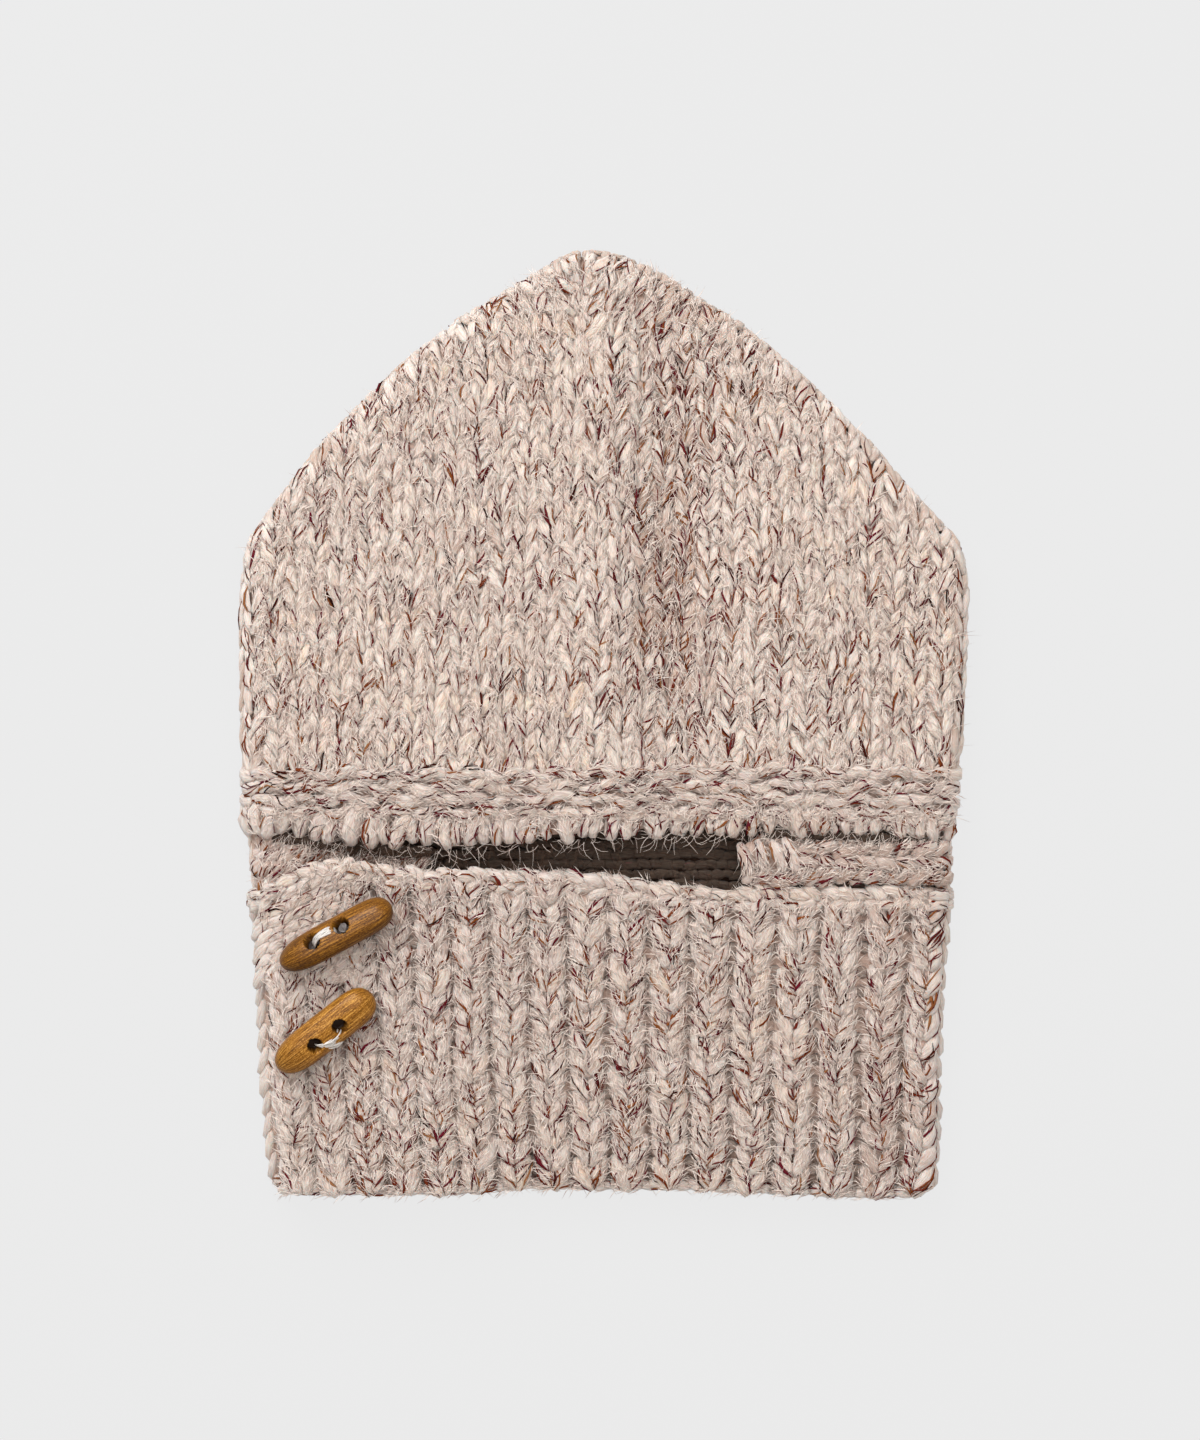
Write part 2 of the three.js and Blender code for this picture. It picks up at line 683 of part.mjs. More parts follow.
// Sewing yarn of a toggle: down one hole to the flap, over the wood, down the other hole.
function buildThread(toggle) {
  const frame = toggleFrame(toggle);
  const bow = -Math.sign(toggle.roll) * 0.6;
  const left = toggle.holeShift - toggle.holeSpacing / 2;
  const right = toggle.holeShift + toggle.holeSpacing / 2;
  const tilt = Math.abs(Math.sin((toggle.roll * Math.PI) / 180));
  const foot = -(frame.reach - THREAD_RADIUS * tilt) / frame.out.z;
  const top = TOGGLE_THICK / 2 + GAP + THREAD_RADIUS;
  const places = [
    [left, 0, foot],
    [left, 0, 0],
    [left + 0.6, 0, top - 1.4],
    [left + 2.4, bow, top],
    [right - 2.4, bow, top],
    [right - 0.6, 0, top - 1.4],
    [right, 0, 0],
    [right, 0, foot],
  ];
  const points = places.map((place) => {
    const point = framePoint(frame, place[0], place[1], place[2]);
    return new THREE.Vector3(point[0], point[1], point[2]);
  });
  return strand(points, THREAD_RADIUS, 24, 8);
}

function addPart(group, name, solid, colour, roughness) {
  const material = new THREE.MeshStandardMaterial({ color: colour, roughness, metalness: 0 });
  material.name = name;
  const mesh = new THREE.Mesh(toGeometry(solid), material);
  mesh.name = name;
  group.add(mesh);
}

const model = new THREE.Group();
model.name = "knit_balaclava";
addPart(model, "hood", buildHood(), 0xcfb8a8, 0.95);
addPart(model, "face_band", buildFaceBand(), 0xc9b1a0, 0.95);
addPart(model, "neck_collar", buildCollar(), 0xc2aa9a, 0.95);
for (const toggle of TOGGLES) {
  addPart(model, toggle.name, buildToggle(toggle), 0x9a6a36, 0.55);
  addPart(model, toggle.thread, buildThread(toggle), 0xd8c8b8, 0.95);
}

export default model;
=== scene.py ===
import math

import bpy
import numpy as np
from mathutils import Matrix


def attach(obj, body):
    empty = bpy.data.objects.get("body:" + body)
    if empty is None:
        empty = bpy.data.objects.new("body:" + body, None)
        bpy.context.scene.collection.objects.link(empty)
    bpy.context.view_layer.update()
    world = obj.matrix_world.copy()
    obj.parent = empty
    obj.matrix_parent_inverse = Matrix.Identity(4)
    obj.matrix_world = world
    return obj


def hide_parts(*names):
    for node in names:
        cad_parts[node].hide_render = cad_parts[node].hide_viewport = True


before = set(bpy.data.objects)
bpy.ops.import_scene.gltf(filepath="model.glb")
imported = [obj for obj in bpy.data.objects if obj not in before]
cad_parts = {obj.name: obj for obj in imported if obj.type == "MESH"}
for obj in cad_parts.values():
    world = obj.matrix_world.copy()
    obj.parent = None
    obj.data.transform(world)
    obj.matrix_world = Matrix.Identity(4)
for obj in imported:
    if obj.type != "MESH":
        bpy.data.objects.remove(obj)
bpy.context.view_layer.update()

# The table top and the light. The balaclava lies on its back on a pale lit table and is
# looked at from straight above; a large soft lamp stands beyond its peak, to the left.
CAMERA_HEIGHT = 1.5
FRAME_TALL = 0.504  # metres of height that the picture shows at FRAME_LEVEL
FRAME_LEVEL = 0.012
SENSOR_MM = 36.0
FRAME_MIDDLE = (-0.0014, 0.0018)

camera = bpy.data.objects.new("camera", bpy.data.cameras.new("camera"))
camera.data.sensor_width = SENSOR_MM
camera.data.lens = SENSOR_MM * (CAMERA_HEIGHT - FRAME_LEVEL) / FRAME_TALL
camera.location = (*FRAME_MIDDLE, CAMERA_HEIGHT)
bpy.context.scene.collection.objects.link(camera)
bpy.context.scene.camera = camera
bpy.context.scene.view_settings.view_transform = "Standard"


def new_material(name, finish):
    """A node material: one Principled shader with the given plain input values, joined to
    the output."""
    material = bpy.data.materials.new(name)
    material.use_nodes = True
    tree = material.node_tree
    tree.nodes.clear()
    shader = tree.nodes.new("ShaderNodeBsdfPrincipled")
    output = tree.nodes.new("ShaderNodeOutputMaterial")
    tree.links.new(shader.outputs["BSDF"], output.inputs["Surface"])
    for socket, value in finish.items():
        shader.inputs[socket].default_value = value
    return material, tree, shader


TABLE_HALF = 6.0
table_mesh = bpy.data.meshes.new("table_top")
table_mesh.from_pydata(
    [(-TABLE_HALF, -TABLE_HALF, 0), (TABLE_HALF, -TABLE_HALF, 0),
     (TABLE_HALF, TABLE_HALF, 0), (-TABLE_HALF, TABLE_HALF, 0)],
    [], [(0, 1, 2, 3)],
)
table_top = bpy.data.objects.new("table_top", table_mesh)
bpy.context.scene.collection.objects.link(table_top)
table_paint, _, _ = new_material("table_paint", {
    "Base Color": (0.03, 0.031, 0.032, 1), "Roughness": 0.9, "Specular IOR Level": 0.1,
    "Emission Color": (1, 1, 1, 1), "Emission Strength": 0.785,
})
table_mesh.materials.append(table_paint)

world = bpy.data.worlds.new("studio")
bpy.context.scene.world = world
world.use_nodes = True
room_light = world.node_tree.nodes["Background"].inputs
room_light["Color"].default_value = (1.0, 0.93, 0.87, 1)
room_light["Strength"].default_value = 0.53


def add_lamp(name, place, size, power, colour):
    """A square soft lamp that faces the middle of the table."""
    data = bpy.data.lights.new(name, "AREA")
    data.size = size
    data.energy = power
    data.color = colour
    lamp = bpy.data.objects.new(name, data)
    lamp.location = place
    aim = -lamp.location
    lamp.rotation_euler = aim.to_track_quat("-Z", "Y").to_euler()
    bpy.context.scene.collection.objects.link(lamp)


LAMP_WHITE = (0.985, 0.985, 0.99)
add_lamp("key_lamp", place=(-0.62, 1.15, 1.18), size=1.0, power=20.5, colour=LAMP_WHITE)
add_lamp("top_lamp", place=(0.1, 0.4, 2.1), size=2.0, power=26.0, colour=LAMP_WHITE)

# The hood: a pouch of stocking stitch in super bulky marled wool, knitted up from the face
# band and over both slanting folds, and drawn together at the peak in a short seam. To the
# right of the seam the cloth sinks into a valley, whose shade is also painted into the yarn as
# a darker tint and more dark hairs.
MM = 0.001
HOOD_EDGE = np.array([
    # height, left edge, right edge
    (-80.0, -123.2, 121.2), (-57.0, -124.5, 122.6), (-40.0, -126.8, 123.0),
    (-14.0, -127.3, 125.2), (10.0, -127.7, 126.6), (30.0, -128.1, 127.4),
    (46.0, -127.8, 128.1), (58.0, -126.4, 126.6), (64.8, -124.4, 123.7),
    (72.0, -119.2, 116.7), (85.8, -108.9, 104.3), (99.8, -97.7, 92.1),
    (113.8, -83.7, 78.1), (127.8, -69.0, 63.4), (141.8, -51.1, 45.9),
    (148.8, -39.6, 34.3), (155.8, -27.4, 23.6), (160.5, -20.0, 15.2),
    (163.6, -14.6, 7.6), (165.9, -9.0, -3.0),
])
HOOD_DENTS = np.array([
    # x, y, half width, half height, swelling or dent
    (0, 40, 90, 80, 1.6), (27, 104, 18, 36, -6.0), (-8, 152, 3.0, 15, -5.0),
    (-2, 88, 12, 52, 2.4), (-62, 6, 30, 12, -1.2), (70, 20, 26, 30, 1.0),
    (-84, 60, 22, 26, 0.9), (25, 22, 16, 62, -4.8), (-40, 96, 20, 16, -0.8),
    (2, 8, 12, 54, 2.2),
])
# middle x and y, half width and half height of the painted shade in the valley right of the seam
VALLEY_SHADE = (23.0, 66.0, 17.0, 80.0)
FOLD_RADIUS = 10.25
YARN_SINK = 2.3
FOLD_FULLNESS, SLANT_FULLNESS = 1.2, 0.7
WALE = 8.0
COURSE = 7.3
HOOD_RIM_FRONT = -14.0
HOOD_RIM_BACK = -57.0
HOOD_TOP = 164.0
HOOD_SEAM_X = -8.0
# heights from which the wales lean in and the seam draws them together
GATHER_Y, SEAM_Y = 105.0, 134.0
RNG = np.random.default_rng(20)

# the outline's corners, its straight pieces, and the way out of each piece and corner
outline = np.concatenate([HOOD_EDGE[:, [1, 0]], HOOD_EDGE[::-1, [2, 0]]])
outline_run = np.diff(outline, axis=0)
outline_out = np.stack([-outline_run[:, 1], outline_run[:, 0]], axis=1)
outline_out /= np.linalg.norm(outline_out, axis=1, keepdims=True)
corner_out = np.concatenate([outline_out[:1], outline_out[:-1] + outline_out[1:],
                             outline_out[-1:]])
corner_out /= np.linalg.norm(corner_out, axis=1, keepdims=True)


def hood_edge_distance(u, v):
    """Distance of a flat place inside the outline (minus is outside) and the way out.

    The nearest point of every straight piece of the outline is found, the closest one is
    kept, and the way out is blended between the two corners of that piece.
    """
    shape = u.shape
    place = np.stack([u.ravel(), v.ravel()], axis=1)[:, None, :]
    start = outline[:-1][None]
    length2 = (outline_run ** 2).sum(axis=1)
    share = np.clip(((place - start) * outline_run).sum(axis=2) / length2, 0, 1)
    nearest = start + outline_run * share[..., None]
    gap2 = ((place - nearest) ** 2).sum(axis=2)
    best = gap2.argmin(axis=1)
    rows = np.arange(len(best))
    blend = share[rows, best][:, None]
    out = corner_out[best] * (1 - blend) + corner_out[best + 1] * blend
    out /= np.linalg.norm(out, axis=1, keepdims=True)
    step = place[:, 0] - nearest[rows, best]
    side = np.sign((step * outline_out[best]).sum(axis=1) - 1e-9)
    inside = -side * np.sqrt(gap2[rows, best])
    return inside.reshape(shape), out.reshape(*shape, 2)


def round_patch(u, v, x, y, half_x, half_y):
    """exp(-(distance / half size)^2): 1 in the middle of a round patch, near 0 outside it."""
    return np.exp(-((u - x) / half_x) ** 2 - ((v - y) / half_y) ** 2)


def hood_relief(u, v):
    """Sum of round swellings and dents, each its depth times a round patch."""
    height = np.zeros_like(u)
    for x, y, half_x, half_y, depth in HOOD_DENTS:
        height += depth * round_patch(u, v, x, y, half_x, half_y)
    return height


def lay_on_hood(u, v, lift, face=1):
    """Flat place (u, v) laid on the flattened pouch, lift above the yarn's middle line.

    Up to a fold radius from the outline the cloth is level; from there the distance turns
    into an angle round a half circle, a little fuller over the hood's folds and its slants.
    face is 1 on the front and -1 on the back.
    """
    inside, out = hood_edge_distance(u, v)
    past = np.maximum(0, FOLD_RADIUS - inside)
    reach = FOLD_RADIUS - YARN_SINK
    angle = np.minimum(past / reach, math.pi)
    fuller = (FOLD_FULLNESS * np.clip((v + 16) / 8, 0, 1)
              + SLANT_FULLNESS * np.clip((v - 58) / 12, 0, 1))
    height = reach + lift + fuller * np.sin(angle)
    if face > 0:
        height = height + hood_relief(u, v) * np.maximum(0, np.cos(angle))
    side = height * np.sin(angle) - past
    x = u + out[..., 0] * side
    y = v + out[..., 1] * side
    z = FOLD_RADIUS + face * height * np.cos(angle)
    normal = np.stack([
        out[..., 0] * np.sin(angle), out[..., 1] * np.sin(angle), face * np.cos(angle),
    ], axis=-1)
    return np.stack([x, y, z], axis=-1), normal


def strand_rings(centre, normal, wide, thick, sides):
    """Ellipses round a row of middle points: wide lies across the strand and along the
    cloth, thick lies along the cloth's normal; returned with the across and up directions."""
    run = np.gradient(centre, axis=1)
    run /= np.linalg.norm(run, axis=-1, keepdims=True) + 1e-12
    across = np.cross(run, normal)
    across /= np.linalg.norm(across, axis=-1, keepdims=True) + 1e-12
    up = np.cross(across, run)
    turn = np.linspace(0, 2 * math.pi, sides, endpoint=False)
    rings = (
        centre[:, :, None]
        + across[:, :, None] * (wide[..., None] * np.cos(turn))[..., None]
        + up[:, :, None] * (thick[..., None] * np.sin(turn))[..., None]
    )
    return rings, across, up


def put_piece(name, rings, start, end, material, tint, replaced):
    """Closed strands, one for each entry: quads between neighbouring rings and a fan to a
    pole at both ends. The UV map runs along the strand and round it, both in millimetres."""
    count, steps, sides, _ = rings.shape
    per = steps * sides + 2
    points = np.concatenate([rings.reshape(count, -1, 3), start[:, None], end[:, None]], axis=1)
    ring, side = np.meshgrid(np.arange(steps - 1), np.arange(sides), indexing="ij")
    after = (side + 1) % sides
    quads = np.stack([ring * sides + side, (ring + 1) * sides + side,
                      (ring + 1) * sides + after, ring * sides + after], axis=-1)
    quads = quads.reshape(-1, 4)
    around = np.arange(sides)
    ahead = (around + 1) % sides
    last = (steps - 1) * sides
    fans = np.concatenate([
        np.stack([np.full(sides, per - 2), around, ahead], axis=1),
        np.stack([np.full(sides, per - 1), last + ahead, last + around], axis=1),
    ])
    length = np.linalg.norm(np.diff(rings.mean(axis=2), axis=1), axis=-1)
    along = np.concatenate([np.zeros((count, 1)), length.cumsum(axis=1)], axis=1)
    girth = np.linalg.norm(np.roll(rings, -1, axis=2) - rings, axis=-1).sum(axis=2).mean(axis=1)
    shift = RNG.uniform(0, 400, (count, 2))
    quad_ring = np.stack([ring, ring + 1, ring + 1, ring], axis=-1).reshape(-1, 4)
    quad_turn = np.stack([side, side, side + 1, side + 1], axis=-1).reshape(-1, 4)
    fan_ring = np.repeat([0, steps - 1], sides)[:, None] * np.ones((1, 3), int)
    near = np.stack([around + 0.5, around, around + 1], axis=1)
    far = np.stack([around + 0.5, around + 1, around], axis=1)
    corner_ring = np.concatenate([quad_ring.ravel(), fan_ring.ravel()])
    corner_turn = np.concatenate([quad_turn.ravel(), near.ravel(), far.ravel()])
    uv = np.stack([
        along[:, corner_ring] + shift[:, :1],
        corner_turn[None] / sides * girth[:, None] + shift[:, 1:],
    ], axis=-1)
    offset = (np.arange(count) * per)[:, None]
    corners = np.concatenate([quads.ravel(), fans.ravel()])[None] + offset
    sizes = np.tile(np.concatenate([np.full(len(quads), 4), np.full(len(fans), 3)]), count)
    starts = np.concatenate([[0], sizes.cumsum()[:-1]])

    mesh = bpy.data.meshes.new(name)
    mesh.vertices.add(count * per)
    mesh.vertices.foreach_set("co", (points * MM).astype(np.float32).ravel())
    mesh.loops.add(corners.size)
    mesh.loops.foreach_set("vertex_index", corners.astype(np.int32).ravel())
    mesh.polygons.add(len(sizes))
    mesh.polygons.foreach_set("loop_start", starts.astype(np.int32))
    mesh.polygons.foreach_set("use_smooth", np.ones(len(sizes), bool))
    mesh.update(calc_edges=True)
    layer = mesh.uv_layers.new(name="yarn")
    layer.data.foreach_set("uv", uv.astype(np.float32).ravel())
    shade = mesh.attributes.new("tint", "FLOAT", "POINT")
    tint = np.broadcast_to(np.asarray(tint).reshape(count, -1), (count, per))
    shade.data.foreach_set("value", tint.astype(np.float32).ravel())
    mesh.materials.append(material)
    piece = bpy.data.objects.new(name, mesh)
    bpy.context.scene.collection.objects.link(piece)
    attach(piece, "root")
    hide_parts(replaced)


def put_wall(name, rings, material, replaced):
    """One closed wall behind the stitches: a row of rings, closed by a fan at both ends."""
    rings = rings[None]
    put_piece(name, rings, rings[:, 0].mean(axis=1), rings[:, -1].mean(axis=1), material,
              np.array([0.5]), replaced)


def marl_tint(course, stitch, salt):
    """Slow change of the dyed wool along the yarn: a few sine waves over the running stitch
    number, from 0, cool grey, to 1, peach."""
    run = course * 31.0 + stitch
    wave = 0.5 + 0.10 * np.sin(run / 3.7 + salt) + 0.10 * np.sin(run / 8.9 + 2.1 * salt)
    return wave + 0.08 * np.sin(stitch / 4.3 + course / 2.9 + salt)


def add_node(tree, kind, inputs=None, **settings):
    """One shader node with its settings, its plain input values and its input links."""
    node = tree.nodes.new(kind)
    for name, value in settings.items():
        setattr(node, name, value)
    for name, value in (inputs or {}).items():
        if isinstance(value, bpy.types.NodeSocket):
            tree.links.new(value, node.inputs[name])
        else:
            node.inputs[name].default_value = value
    return node


def linear(red, green, blue):
    """Screen colour from 0 to 255 turned into the linear colour that shaders take."""
    share = np.array([red, green, blue]) / 255.0
    low = share / 12.92
    high = ((share + 0.055) / 1.055) ** 2.4
    return (*np.where(share <= 0.04045, low, high), 1.0)


def colour_ramp(tree, value, steps, interpolation="LINEAR"):
    """Colours over a value: both end steps are set, and those between are put in."""
    ramp = add_node(tree, "ShaderNodeValToRGB", {"Fac": value})
    ramp.color_ramp.interpolation = interpolation
    marks = ramp.color_ramp.elements
    for mark, (at, colour) in zip((marks[0], marks[1]), (steps[0], steps[-1])):
        mark.position = at
        mark.color = linear(*colour)
    for at, colour in steps[1:-1]:
        marks.new(at).color = linear(*colour)
    return ramp.outputs["Color"]


def marled_wool(name, shade, cast=(1.0, 1.0, 1.0)):
    """Fuzzy plied wool. The tint attribute and a cloudy noise pick grey, cream or peach;
    long noises along the UV map draw the plies, the brushed hairs and rosy streaks; rare
    spots are darker hairs in the spin. shade and cast darken and tinge the whole, and blue
    light spreads furthest inside it, so that the crevices stay warm."""
    material, tree, shader = new_material(name, {
        "Roughness": 0.95, "Specular IOR Level": 0.12, "Sheen Weight": 0.25 * shade,
        "Sheen Roughness": 0.6, "Subsurface Weight": 0.8, "Subsurface Radius": (0.6, 0.85, 1.0),
        "Subsurface Scale": 2.0 * MM,
    })
    uv = add_node(tree, "ShaderNodeUVMap", uv_map="yarn").outputs["UV"]
    tint = add_node(tree, "ShaderNodeAttribute", attribute_name="tint").outputs["Fac"]

    def noise(turn, scale, detail, shift=0.0):
        """Cloudy noise on the UV map, turned, scaled and shifted."""
        lay = add_node(tree, "ShaderNodeMapping", {
            "Vector": uv, "Rotation": (0, 0, turn), "Scale": (*scale, 1.0),
            "Location": (shift, shift, 0),
        })
        return add_node(tree, "ShaderNodeTexNoise", {
            "Vector": lay.outputs["Vector"], "Scale": 1.0, "Detail": detail, "Roughness": 0.65,
        }).outputs["Fac"]

    def spread(value, low, high, to_low, to_high):
        """The value's range from low to high stretched on to another range."""
        return add_node(tree, "ShaderNodeMapRange", {
            "Value": value, "From Min": low, "From Max": high, "To Min": to_low,
            "To Max": to_high,
        }).outputs["Result"]

    def maths(kind, first, second):
        """Sum or product of two values."""
        return add_node(tree, "ShaderNodeMath", {0: first, 1: second}, operation=kind).outputs[0]

    def blend(factor, first, second, kind="MIX"):
        """The second colour laid over the first by the factor."""
        return add_node(tree, "ShaderNodeMix", {"Factor": factor, 6: first, 7: second},
                        data_type="RGBA", blend_type=kind).outputs[2]

    plies = noise(0.36, (0.15, 2.3), 4.0)
    hairs = noise(-0.22, (0.22, 4.2), 3.0, 31.0)
    cloud = noise(0.0, (0.16, 0.30), 2.0, 7.0)
    dyed = maths("ADD", spread(cloud, 0.0, 1.0, -0.42, 0.42), tint)
    base = colour_ramp(tree, dyed, [(0.0, (206, 184, 170)), (0.28, (237, 225, 217)),
                                    (0.5, (242, 232, 223)), (0.72, (243, 229, 216)),
                                    (1.0, (244, 222, 200))])
    ruddy = noise(0.1, (0.20, 0.75), 2.0, 53.0)
    base = blend(spread(plies, 0.34, 0.54, 0.5, 0.0), base, linear(198, 158, 144))
    base = blend(spread(ruddy, 0.54, 0.74, 0.0, 0.42), base, colour_ramp(
        tree, cloud, [(0.42, (200, 156, 152)), (0.58, (212, 172, 142))]))
    depth = maths("MULTIPLY", spread(plies, 0.30, 0.64, 0.86 * shade, shade),
                  spread(hairs, 0.32, 0.64, 0.93, 1.0))
    base = blend(1.0, base, depth, "MULTIPLY")
    base = blend(1.0, base, (*cast, 1.0), "MULTIPLY")
    strays = noise(0.25, (0.14, 1.7), 1.0, 17.0)
    base = blend(spread(strays, 0.70, 0.77, 0.0, 0.45), base, colour_ramp(
        tree, cloud, [(0.0, (104, 62, 60)), (0.47, (138, 70, 82)), (0.56, (158, 100, 68))],
        "CONSTANT"))
    height = maths("ADD", plies, maths("MULTIPLY", hairs, 0.5))
    bump = add_node(tree, "ShaderNodeBump", {"Height": height, "Strength": 0.8,
                                             "Distance": 1.0 * MM})
    tree.links.new(base, shader.inputs["Base Color"])
    tree.links.new(bump.outputs["Normal"], shader.inputs["Normal"])
    return material


def backing_wool(name, dark, pale):
    """Matted wool behind the stitches: soft clumps on Object coordinates between two
    colours, darker than the yarn in front, with a felt-like bump."""
    material, tree, shader = new_material(name, {"Roughness": 1.0, "Specular IOR Level": 0.1})
    place = add_node(tree, "ShaderNodeTexCoord")
    clumps = add_node(tree, "ShaderNodeTexNoise", {
        "Vector": place.outputs["Object"], "Scale": 420.0, "Detail": 4.0, "Roughness": 0.65,
    }).outputs["Fac"]
    colour = colour_ramp(tree, clumps, [(0.3, dark), (0.7, pale)])
    bump = add_node(tree, "ShaderNodeBump", {
        "Height": clumps, "Strength": 0.8, "Distance": 1.2 * MM,
    })
    tree.links.new(colour, shader.inputs["Base Color"])
    tree.links.new(bump.outputs["Normal"], shader.inputs["Normal"])
    return material


def lay_legs(lay, u, v, turn, step, climb, lift, wide, thick, sides, size=None, spread=None):
    """Legs of V stitches: the same small path, scaled, turned about its stitch's middle and
    laid on the cloth. step goes across the wale, climb along it and lift off the cloth."""
    size = np.ones(len(u)) if size is None else size
    spread = np.ones(len(u)) if spread is None else spread
    across = step * (size * spread)[:, None]
    along = climb * size[:, None]
    cos, sin = np.cos(turn)[:, None], np.sin(turn)[:, None]
    flat_u = u[:, None] + cos * across - sin * along
    flat_v = v[:, None] + sin * across + cos * along
    centre, normal = lay(flat_u, flat_v, lift * np.ones_like(flat_u))
    centre = centre + RNG.normal(0, 0.12, centre.shape)
    lumps = size[:, None] * RNG.normal(1.0, 0.06, flat_u.shape)
    half_wide = wide * lumps
    half_thick = thick * lumps
    rings, side, up = strand_rings(centre, normal, half_wide, half_thick, sides)
    return {"centre": centre, "rings": rings, "across": side, "up": up,
            "wide": half_wide, "thick": half_thick}


def poles(legs, reach=0.35):
    """Pole points a little past both ends of each strand, along its own run."""
    centre = legs["centre"]
    start = centre[:, 0] + (centre[:, 0] - centre[:, 1]) * reach
    end = centre[:, -1] + (centre[:, -1] - centre[:, -2]) * reach
    return start, end


def join_legs(groups):
    """Several sets of legs of the same ring count put one after another."""
    return {key: np.concatenate([group[key] for group in groups]) for key in groups[0]}


def single_hairs(name, steps, finish):
    """Single hairs in or on the yarn: the tint attribute picks each hair's own colour."""
    material, tree, shader = new_material(name, finish)
    tint = add_node(tree, "ShaderNodeAttribute", attribute_name="tint").outputs["Fac"]
    tree.links.new(colour_ramp(tree, tint, steps), shader.inputs["Base Color"])
    return material


def yarn_surface(legs, chosen, at, turn, off):
    """Places on the outside of chosen strands, at a share of their length and an angle
    round them, a little off the surface; returned with the outward direction there."""
    last = legs["centre"].shape[1] - 1
    low = np.clip((at * last).astype(int), 0, last - 1)
    share = at * last - low

    def between(values):
        """Straight line between the values at the strand's two nearest middle points."""
        rest = share.reshape(share.shape + (1,) * (values.ndim - 2))
        return values[chosen, low] * (1 - rest) + values[chosen, low + 1] * rest

    across, up = between(legs["across"]), between(legs["up"])
    cos, sin = np.cos(turn)[..., None], np.sin(turn)[..., None]
    wide, thick = between(legs["wide"])[..., None], between(legs["thick"])[..., None]
    place = between(legs["centre"]) + across * (wide + off) * cos + up * (thick + off) * sin
    return place, across * cos + up * sin


def level_legs(legs, least):
    """Numbers of the strands that lie on level cloth: the middle of the strand's upward
    direction points up or down by more than the given share."""
    return np.flatnonzero(np.abs(legs["up"][:, legs["up"].shape[1] // 2, 2]) > least)


def put_flecks(name, legs, count, radius, material, replaced, valley=0.0):
    """Dark hairs caught in the yarn: each rides on one strand, from one share of its length
    to another, while it creeps round it, so it bends as the stitch bends. valley is how many
    more of them the middle of the hood's valley gets, as painted shade there."""
    run = np.linspace(0, 1, 4)
    level = level_legs(legs, 0.4)
    middle = legs["centre"][level, 2]
    often = 1 + valley * round_patch(middle[:, 0], middle[:, 1], *VALLEY_SHADE)
    chosen = RNG.choice(level, count, len(level) < count, often / often.sum())[:, None]
    length = RNG.uniform(0.4, 0.9, count)[:, None]
    begin = RNG.uniform(0.0, 0.9, count)[:, None] * (0.9 - length)
    to_side = RNG.choice([-1, 1], count)[:, None]
    turn = math.pi / 2 + to_side * RNG.uniform(0.1, 1.25, count)[:, None]
    turn = turn + RNG.normal(0, 1.1, count)[:, None] * (run - 0.4)
    turn = turn + RNG.normal(0, 2.2, count)[:, None] * (run - 0.3) ** 2
    turn = np.clip(turn, 0.1, math.pi - 0.1)
    place, radial = yarn_surface(legs, chosen, begin + length * run, turn, 0.13)
    slim = radius * np.exp(RNG.normal(0, 0.28, count))[:, None] * np.array([0.45, 1.15, 1.0, 0.4])
    rings, _, _ = strand_rings(place, radial, slim, slim, 3)
    start, end = poles({"centre": place}, 0.15)
    put_piece(name, rings, start, end, material, RNG.uniform(0, 1, count), replaced)


# lowest place of a brushed hair over the table, its highest rise over its root, and the
# line below the hem that it doesn't pass
HAIR_FLOOR, HAIR_RISE, HAIR_HEM_Y = 0.2, 2.4, -166.2


def put_hairs(name, legs, count, radius, reach, rise, material, replaced):
    """Pale hairs brushed off the yarn: each leaves a level strand's surface along its run,
    veers to one side and rises a little, so the edges of the stitches blur. A hair is one
    small ring between a pole at its root and one at its tip."""
    run = np.array([[0.0, 0.5, 1.0]])
    chosen = RNG.choice(level_legs(legs, 0.84), count)[:, None]
    at = RNG.uniform(0.0, 0.7, count)[:, None]
    turn = RNG.uniform(0.25, math.pi - 0.25, count)[:, None]
    root, radial = yarn_surface(legs, chosen, at, turn, 0.0)
    ahead, _ = yarn_surface(legs, chosen, at + 0.12, turn, 0.0)
    along = ahead - root
    along[..., 2] *= 0.35
    along /= np.linalg.norm(along, axis=-1, keepdims=True) + 1e-9
    beside = np.cross(along, radial)
    length = RNG.uniform(*reach, count)[:, None]
    veer = RNG.normal(0, 0.4, count)[:, None] * run + RNG.normal(0, 0.5, count)[:, None] * run ** 2
    lift = 0.04 + RNG.uniform(0.1, rise, count)[:, None] * run ** 1.5
    centre = (root + along * (length * run)[..., None] + beside * (length * veer)[..., None]
              + radial * lift[..., None])
    centre[..., 2] = np.clip(centre[..., 2], HAIR_FLOOR, root[..., 2] + HAIR_RISE)
    centre[..., 1] = np.maximum(centre[..., 1], HAIR_HEM_Y)
    slim = radius * RNG.uniform(0.7, 1.3, count)[:, None] * np.ones((1, 3))
    rings, _, _ = strand_rings(centre, np.broadcast_to(radial, centre.shape), slim, slim, 3)
    put_piece(name, rings[:, 1:2], centre[:, 0], centre[:, 2], material,
              RNG.uniform(0, 1, count), replaced)


